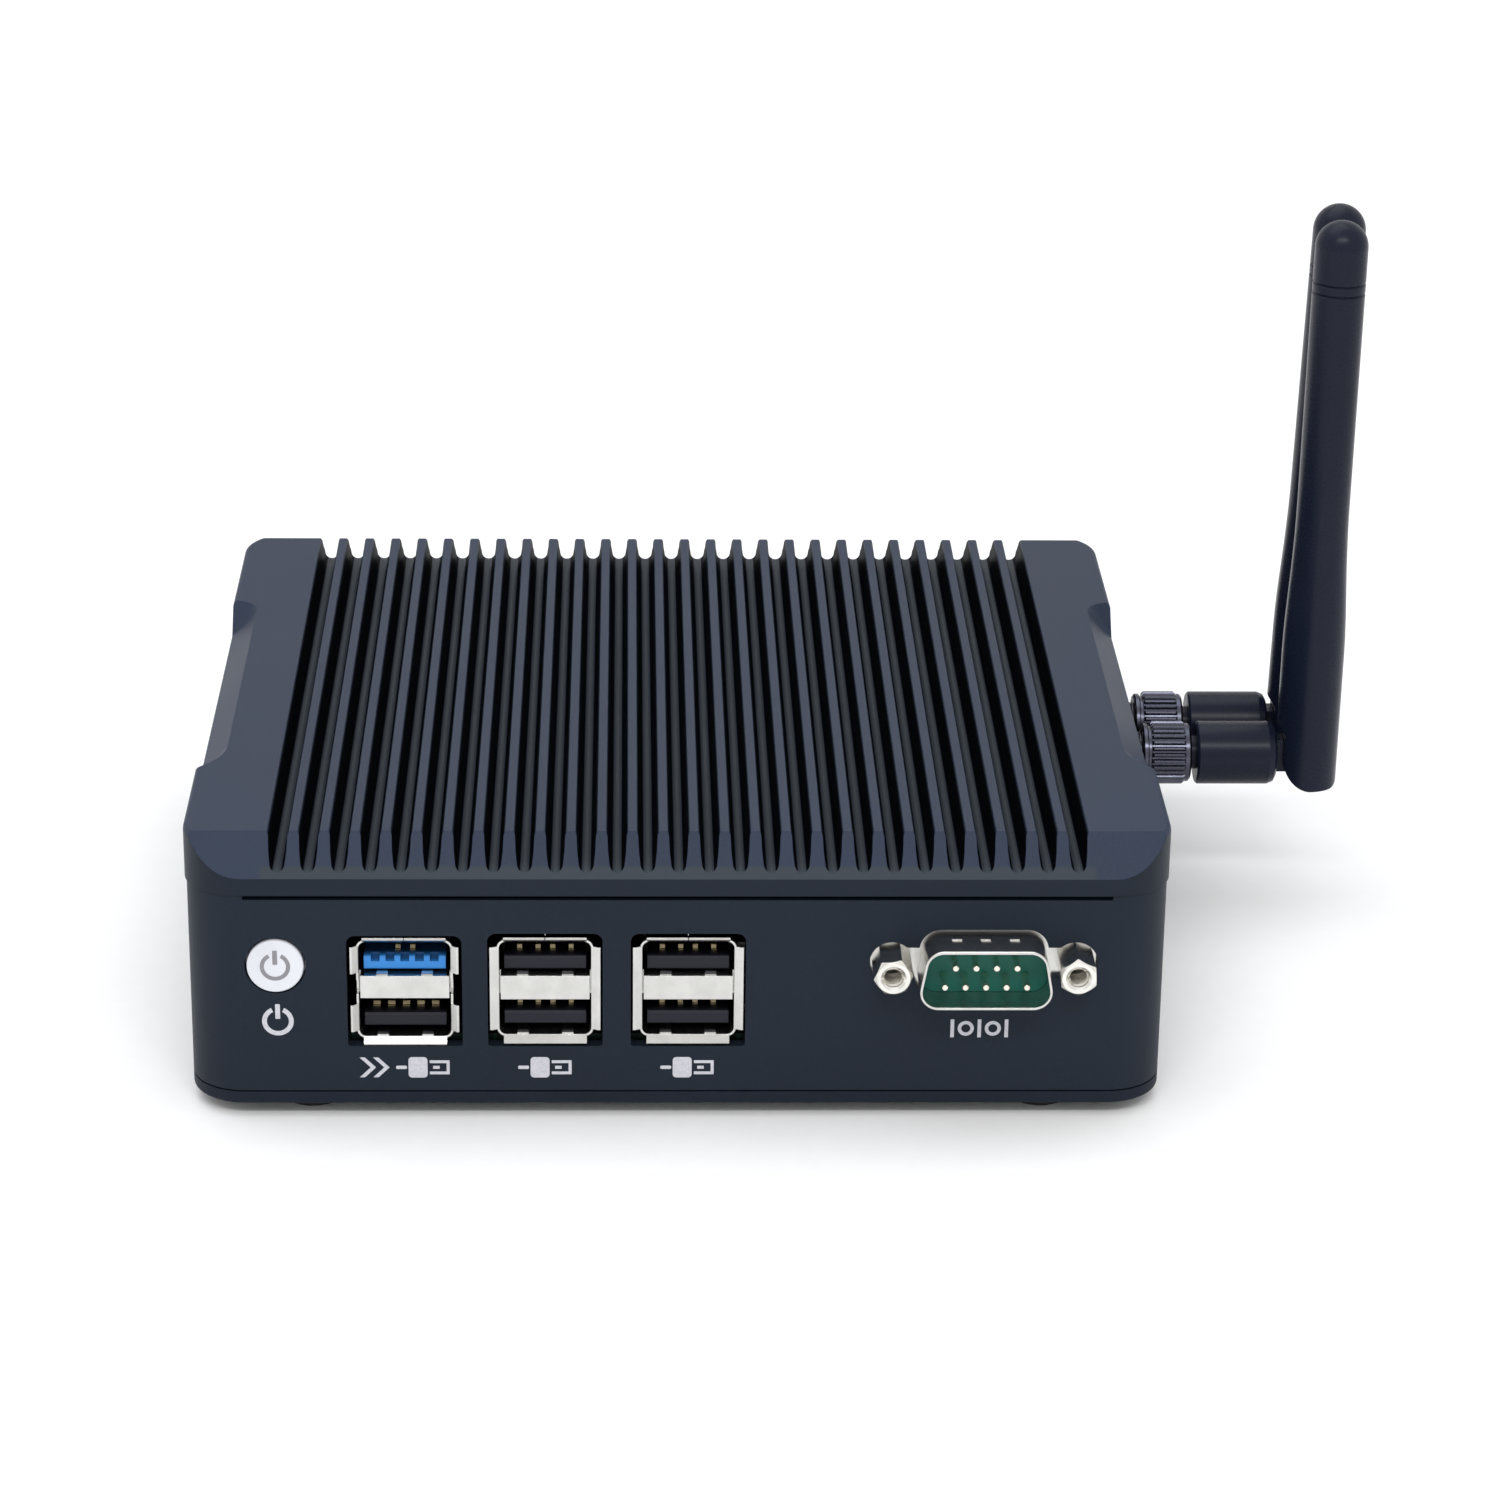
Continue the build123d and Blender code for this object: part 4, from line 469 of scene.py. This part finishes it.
def front_symbols():
    button = centre_of("power_button")
    symbol("print_standby", standby_shapes(2.15, 0.66, 24, 0.66, 0.35, 2.55),
           on_front(button.x + 0.15 * MM, 12.6 * MM, FRONT_Y))
    fast = centre_of("usb3_shell").x
    shapes = plug_shapes(2.4) + [chevron(-6.3), chevron(-4.45)]
    symbol("print_fast_ports", shapes, on_front(fast, LABEL_Z, FRONT_Y))
    for side in ("left", "right"):
        x = centre_of(f"usb2_{side}_shell").x
        symbol(f"print_{side}_ports", plug_shapes(), on_front(x, LABEL_Z, FRONT_Y))
    serial = centre_of("serial_shell").x - 0.3 * MM
    symbol("print_serial", serial_shapes(), on_front(serial, 11.5 * MM, FRONT_Y))
    cap_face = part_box("power_button")[0].y
    symbol("button_symbol", standby_shapes(2.05, 0.56, 27, 0.65, 0.3, 2.4),
           on_front(button.x, button.z, cap_face), BUTTON_INK, "button")


def monitor_shapes():
    """A screen on a stand."""
    return outlined((0, 0.5), 4.2, 2.8, 0.4) + [bar((0, -1.25), 0.7, 0.7), bar((0, -1.75), 2.4, 0.4, 0.1)]


def network_shapes():
    """Three joined boxes."""
    boxes = [outlined(place, 1.3, 1.1, 0.3) for place in ((0, 1.3), (-1.4, -1.3), (1.4, -1.3))]
    lines = [bar((0, 0.4), 0.3, 0.75), bar((0, 0.0), 3.1, 0.3)]
    lines += [bar((x, -0.4), 0.3, 0.7) for x in (-1.4, 1.4)]
    return [shape for box in boxes for shape in box] + lines


def headphone_shapes():
    """A head band with two ear pads."""
    pads = [bar((x, -0.85), 0.75, 1.3, 0.25) for x in (-1.45, 1.45)]
    return [ring((0, -0.3), 1.6, 0.35, 0, 180)] + pads


def microphone_shapes():
    """A capsule in a yoke on a stand."""
    return [bar((0, 0.7), 0.95, 2.0, 0.45), ring((0, 0.3), 1.25, 0.3, 200, 340), bar((0, -1.2), 0.3, 0.7),
            bar((0, -1.65), 1.5, 0.3, 0.1)]


def inlet_shapes():
    """Direct current: a full line over a broken one."""
    return [bar((0, 0.35), 3.0, 0.36)] + [bar((x, -0.35), 0.7, 0.36) for x in (-1.15, 0.0, 1.15)]


def rear_symbols():
    label_z = 4.9 * MM
    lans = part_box("lan_jacks")
    lan_x = [lans[0].x + 7.95 * MM, lans[1].x - 7.95 * MM]
    places = [("inlet", inlet_shapes(), centre_of("power_inlet").x, label_z),
              ("screen", monitor_shapes(), centre_of("vga_shell").x, 5.6 * MM),
              ("digital_screen", monitor_shapes(), centre_of("hdmi_shell").x, 5.6 * MM),
              ("network_1", network_shapes(), lan_x[0], 26.0 * MM),
              ("network_2", network_shapes(), lan_x[1], 26.0 * MM)]
    audio = centre_of("audio_jacks").x - 6.6 * MM
    places += [("microphone", microphone_shapes(), audio, 13.4 * MM),
               ("headphone", headphone_shapes(), audio, 22.0 * MM)]
    for name, shapes, x, z in places:
        symbol(f"print_{name}", shapes, on_rear(x, z, REAR_Y))


front_symbols()
rear_symbols()


# --- small metal parts of the ports ---------------------------------------------------------------
SPRING_WIDE = 1.6 * MM
SPRING_X = 3.05 * MM
SPRING_HIGH = 0.32 * MM
SPRING_PROFILE = ((0.25, 0.0), (0.5, 0.55), (1.1, 1.0), (2.2, 0.85), (4.6, 0.0))  # mm back, share of height


def contact_springs(name, node, levels):
    """Bowed spring tabs that hold a plug, in pairs on the floor of each storey."""
    low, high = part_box(node)
    middle, front = (low.x + high.x) / 2, low.y + 0.45 * MM
    mesh = bmesh.new()
    for level in levels:
        for side in (-1, 1):
            x = middle + side * SPRING_X
            rows = []
            for back, share in SPRING_PROFILE:
                z = level + share * SPRING_HIGH
                half = SPRING_WIDE / 2 * (1.0 - 0.04 * back)
                rows.append([mesh.verts.new((x + across, front + back * MM, z + up))
                             for across, up in ((-half, 0.01 * MM), (half, 0.01 * MM),
                                                (half, -0.12 * MM), (-half, -0.12 * MM))])
            for a, b in zip(rows, rows[1:]):
                for i in range(4):
                    mesh.faces.new((a[i], a[(i + 1) % 4], b[(i + 1) % 4], b[i]))
            mesh.faces.new(rows[0])
            mesh.faces.new(rows[-1][::-1])
    return finish_piece(name, mesh, MATERIALS["connector_nickel"], CASE)


for stack, floors in STOREY_FLOORS.items():
    contact_springs(f"{stack}_springs", f"{stack}_shell", [floor * MM for floor in floors])


def screw_threads():
    """Helical threads in the mouths of the serial port's screws."""
    pitch, turns, steps = 0.635 * MM, 6, 40
    root, crest = 1.43 * MM, 1.2 * MM
    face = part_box("jackscrews")[0].y
    z = centre_of("serial_shell").z
    mesh = bmesh.new()
    for side in (-1, 1):
        x = centre_of("serial_shell").x + side * SCREW_FROM_MIDDLE
        rows = []
        for i in range(turns * steps + 1):
            angle = 2 * math.pi * i / steps
            y = face + 0.45 * MM + pitch * i / steps
            rows.append([mesh.verts.new((x + r * math.cos(angle), y + shift * pitch, z + r * math.sin(angle)))
                         for r, shift in ((root, -0.42), (crest, 0.0), (root, 0.42))])
        for a, b in zip(rows, rows[1:]):
            for i in range(2):
                mesh.faces.new((a[i], a[i + 1], b[i + 1], b[i]))
    return finish_piece("screw_threads", mesh, MATERIALS["jackscrew_nickel"], CASE)


screw_threads()


# --- stage, light and camera ----------------------------------------------------------------------
def studio_floor():
    """A wide floor that curves up far behind the object."""
    mesh = bmesh.new()
    wide, near, far, high, steps = 8.0, -4.0, 3.0, 4.0, 24
    radius = 1.5
    profile = [(near, 0.0), (far, 0.0)]
    profile += [(far + radius * math.sin(a), radius * (1 - math.cos(a)))
                for a in (math.pi / 2 * i / steps for i in range(1, steps + 1))]
    profile.append((far + radius, high))
    rows = [[mesh.verts.new((x, y, FLOOR_Z + z)) for x in (-wide, wide)] for y, z in profile]
    for a, b in zip(rows, rows[1:]):
        mesh.faces.new((a[0], a[1], b[1], b[0]))
    data = bpy.data.meshes.new("studio_floor")
    mesh.to_mesh(data)
    mesh.free()
    made, tree, shader = new_material("studio_paper", Roughness=0.9)
    shader.inputs["Specular IOR Level"].default_value = 0.1
    fibre = noise(tree, own_coordinates(tree), 3 * MM, 2.0)
    tree.links.new(between(tree, fibre, (0.90, 0.90, 0.90), (0.93, 0.93, 0.93)), shader.inputs["Base Color"])
    data.materials.append(made)
    for face in data.polygons:
        face.use_smooth = True
    put_in_scene("studio_floor", data)


def soft_light(name, place, aim, size, power, colour=(1, 1, 1)):
    """A rectangular softbox turned towards a point."""
    data = bpy.data.lights.new(name, "AREA")
    data.shape = "RECTANGLE"
    data.size, data.size_y = size
    data.energy = power
    data.color = colour
    light = put_in_scene(name, data)
    light.location = place
    light.rotation_euler = (Vector(aim) - Vector(place)).to_track_quat("-Z", "Y").to_euler()


def studio_lights():
    middle = (0.0, 0.0, 0.03)
    soft_light("top_softbox", (-0.2, 0.3, 1.3), middle, (1.4, 1.0), 6.0, (0.86, 0.93, 1.0))
    soft_light("front_softbox", (0.0, -0.88, 0.98), middle, (0.9, 0.16), 5.5)
    world = bpy.data.worlds.new("studio")
    bpy.context.scene.world = world
    world.use_nodes = True
    background = world.node_tree.nodes["Background"]
    background.inputs["Color"].default_value = (1.0, 1.0, 1.0, 1.0)
    background.inputs["Strength"].default_value = 0.92


def camera():
    """The camera stands in front, a little to the left, and looks down on the case."""
    yaw, pitch, roll = (math.radians(angle) for angle in CAMERA_TURN)
    forward = Vector((math.sin(yaw) * math.cos(pitch), math.cos(yaw) * math.cos(pitch), -math.sin(pitch)))
    level = Vector((math.cos(yaw), -math.sin(yaw), 0.0))
    upright = level.cross(forward)
    right = math.cos(roll) * level + math.sin(roll) * upright
    up = -math.sin(roll) * level + math.cos(roll) * upright
    data = bpy.data.cameras.new("camera")
    data.sensor_width = 36.0
    data.lens = CAMERA_LENS
    data.clip_start = 0.02
    data.clip_end = 50.0
    made = put_in_scene("camera", data)
    turn = Matrix((right, up, -forward)).transposed().to_4x4()
    made.matrix_world = Matrix.Translation(Vector(CAMERA_PLACE) * MM) @ turn
    bpy.context.scene.camera = made


studio_floor()
studio_lights()
camera()
bpy.context.scene.view_settings.view_transform = "Standard"
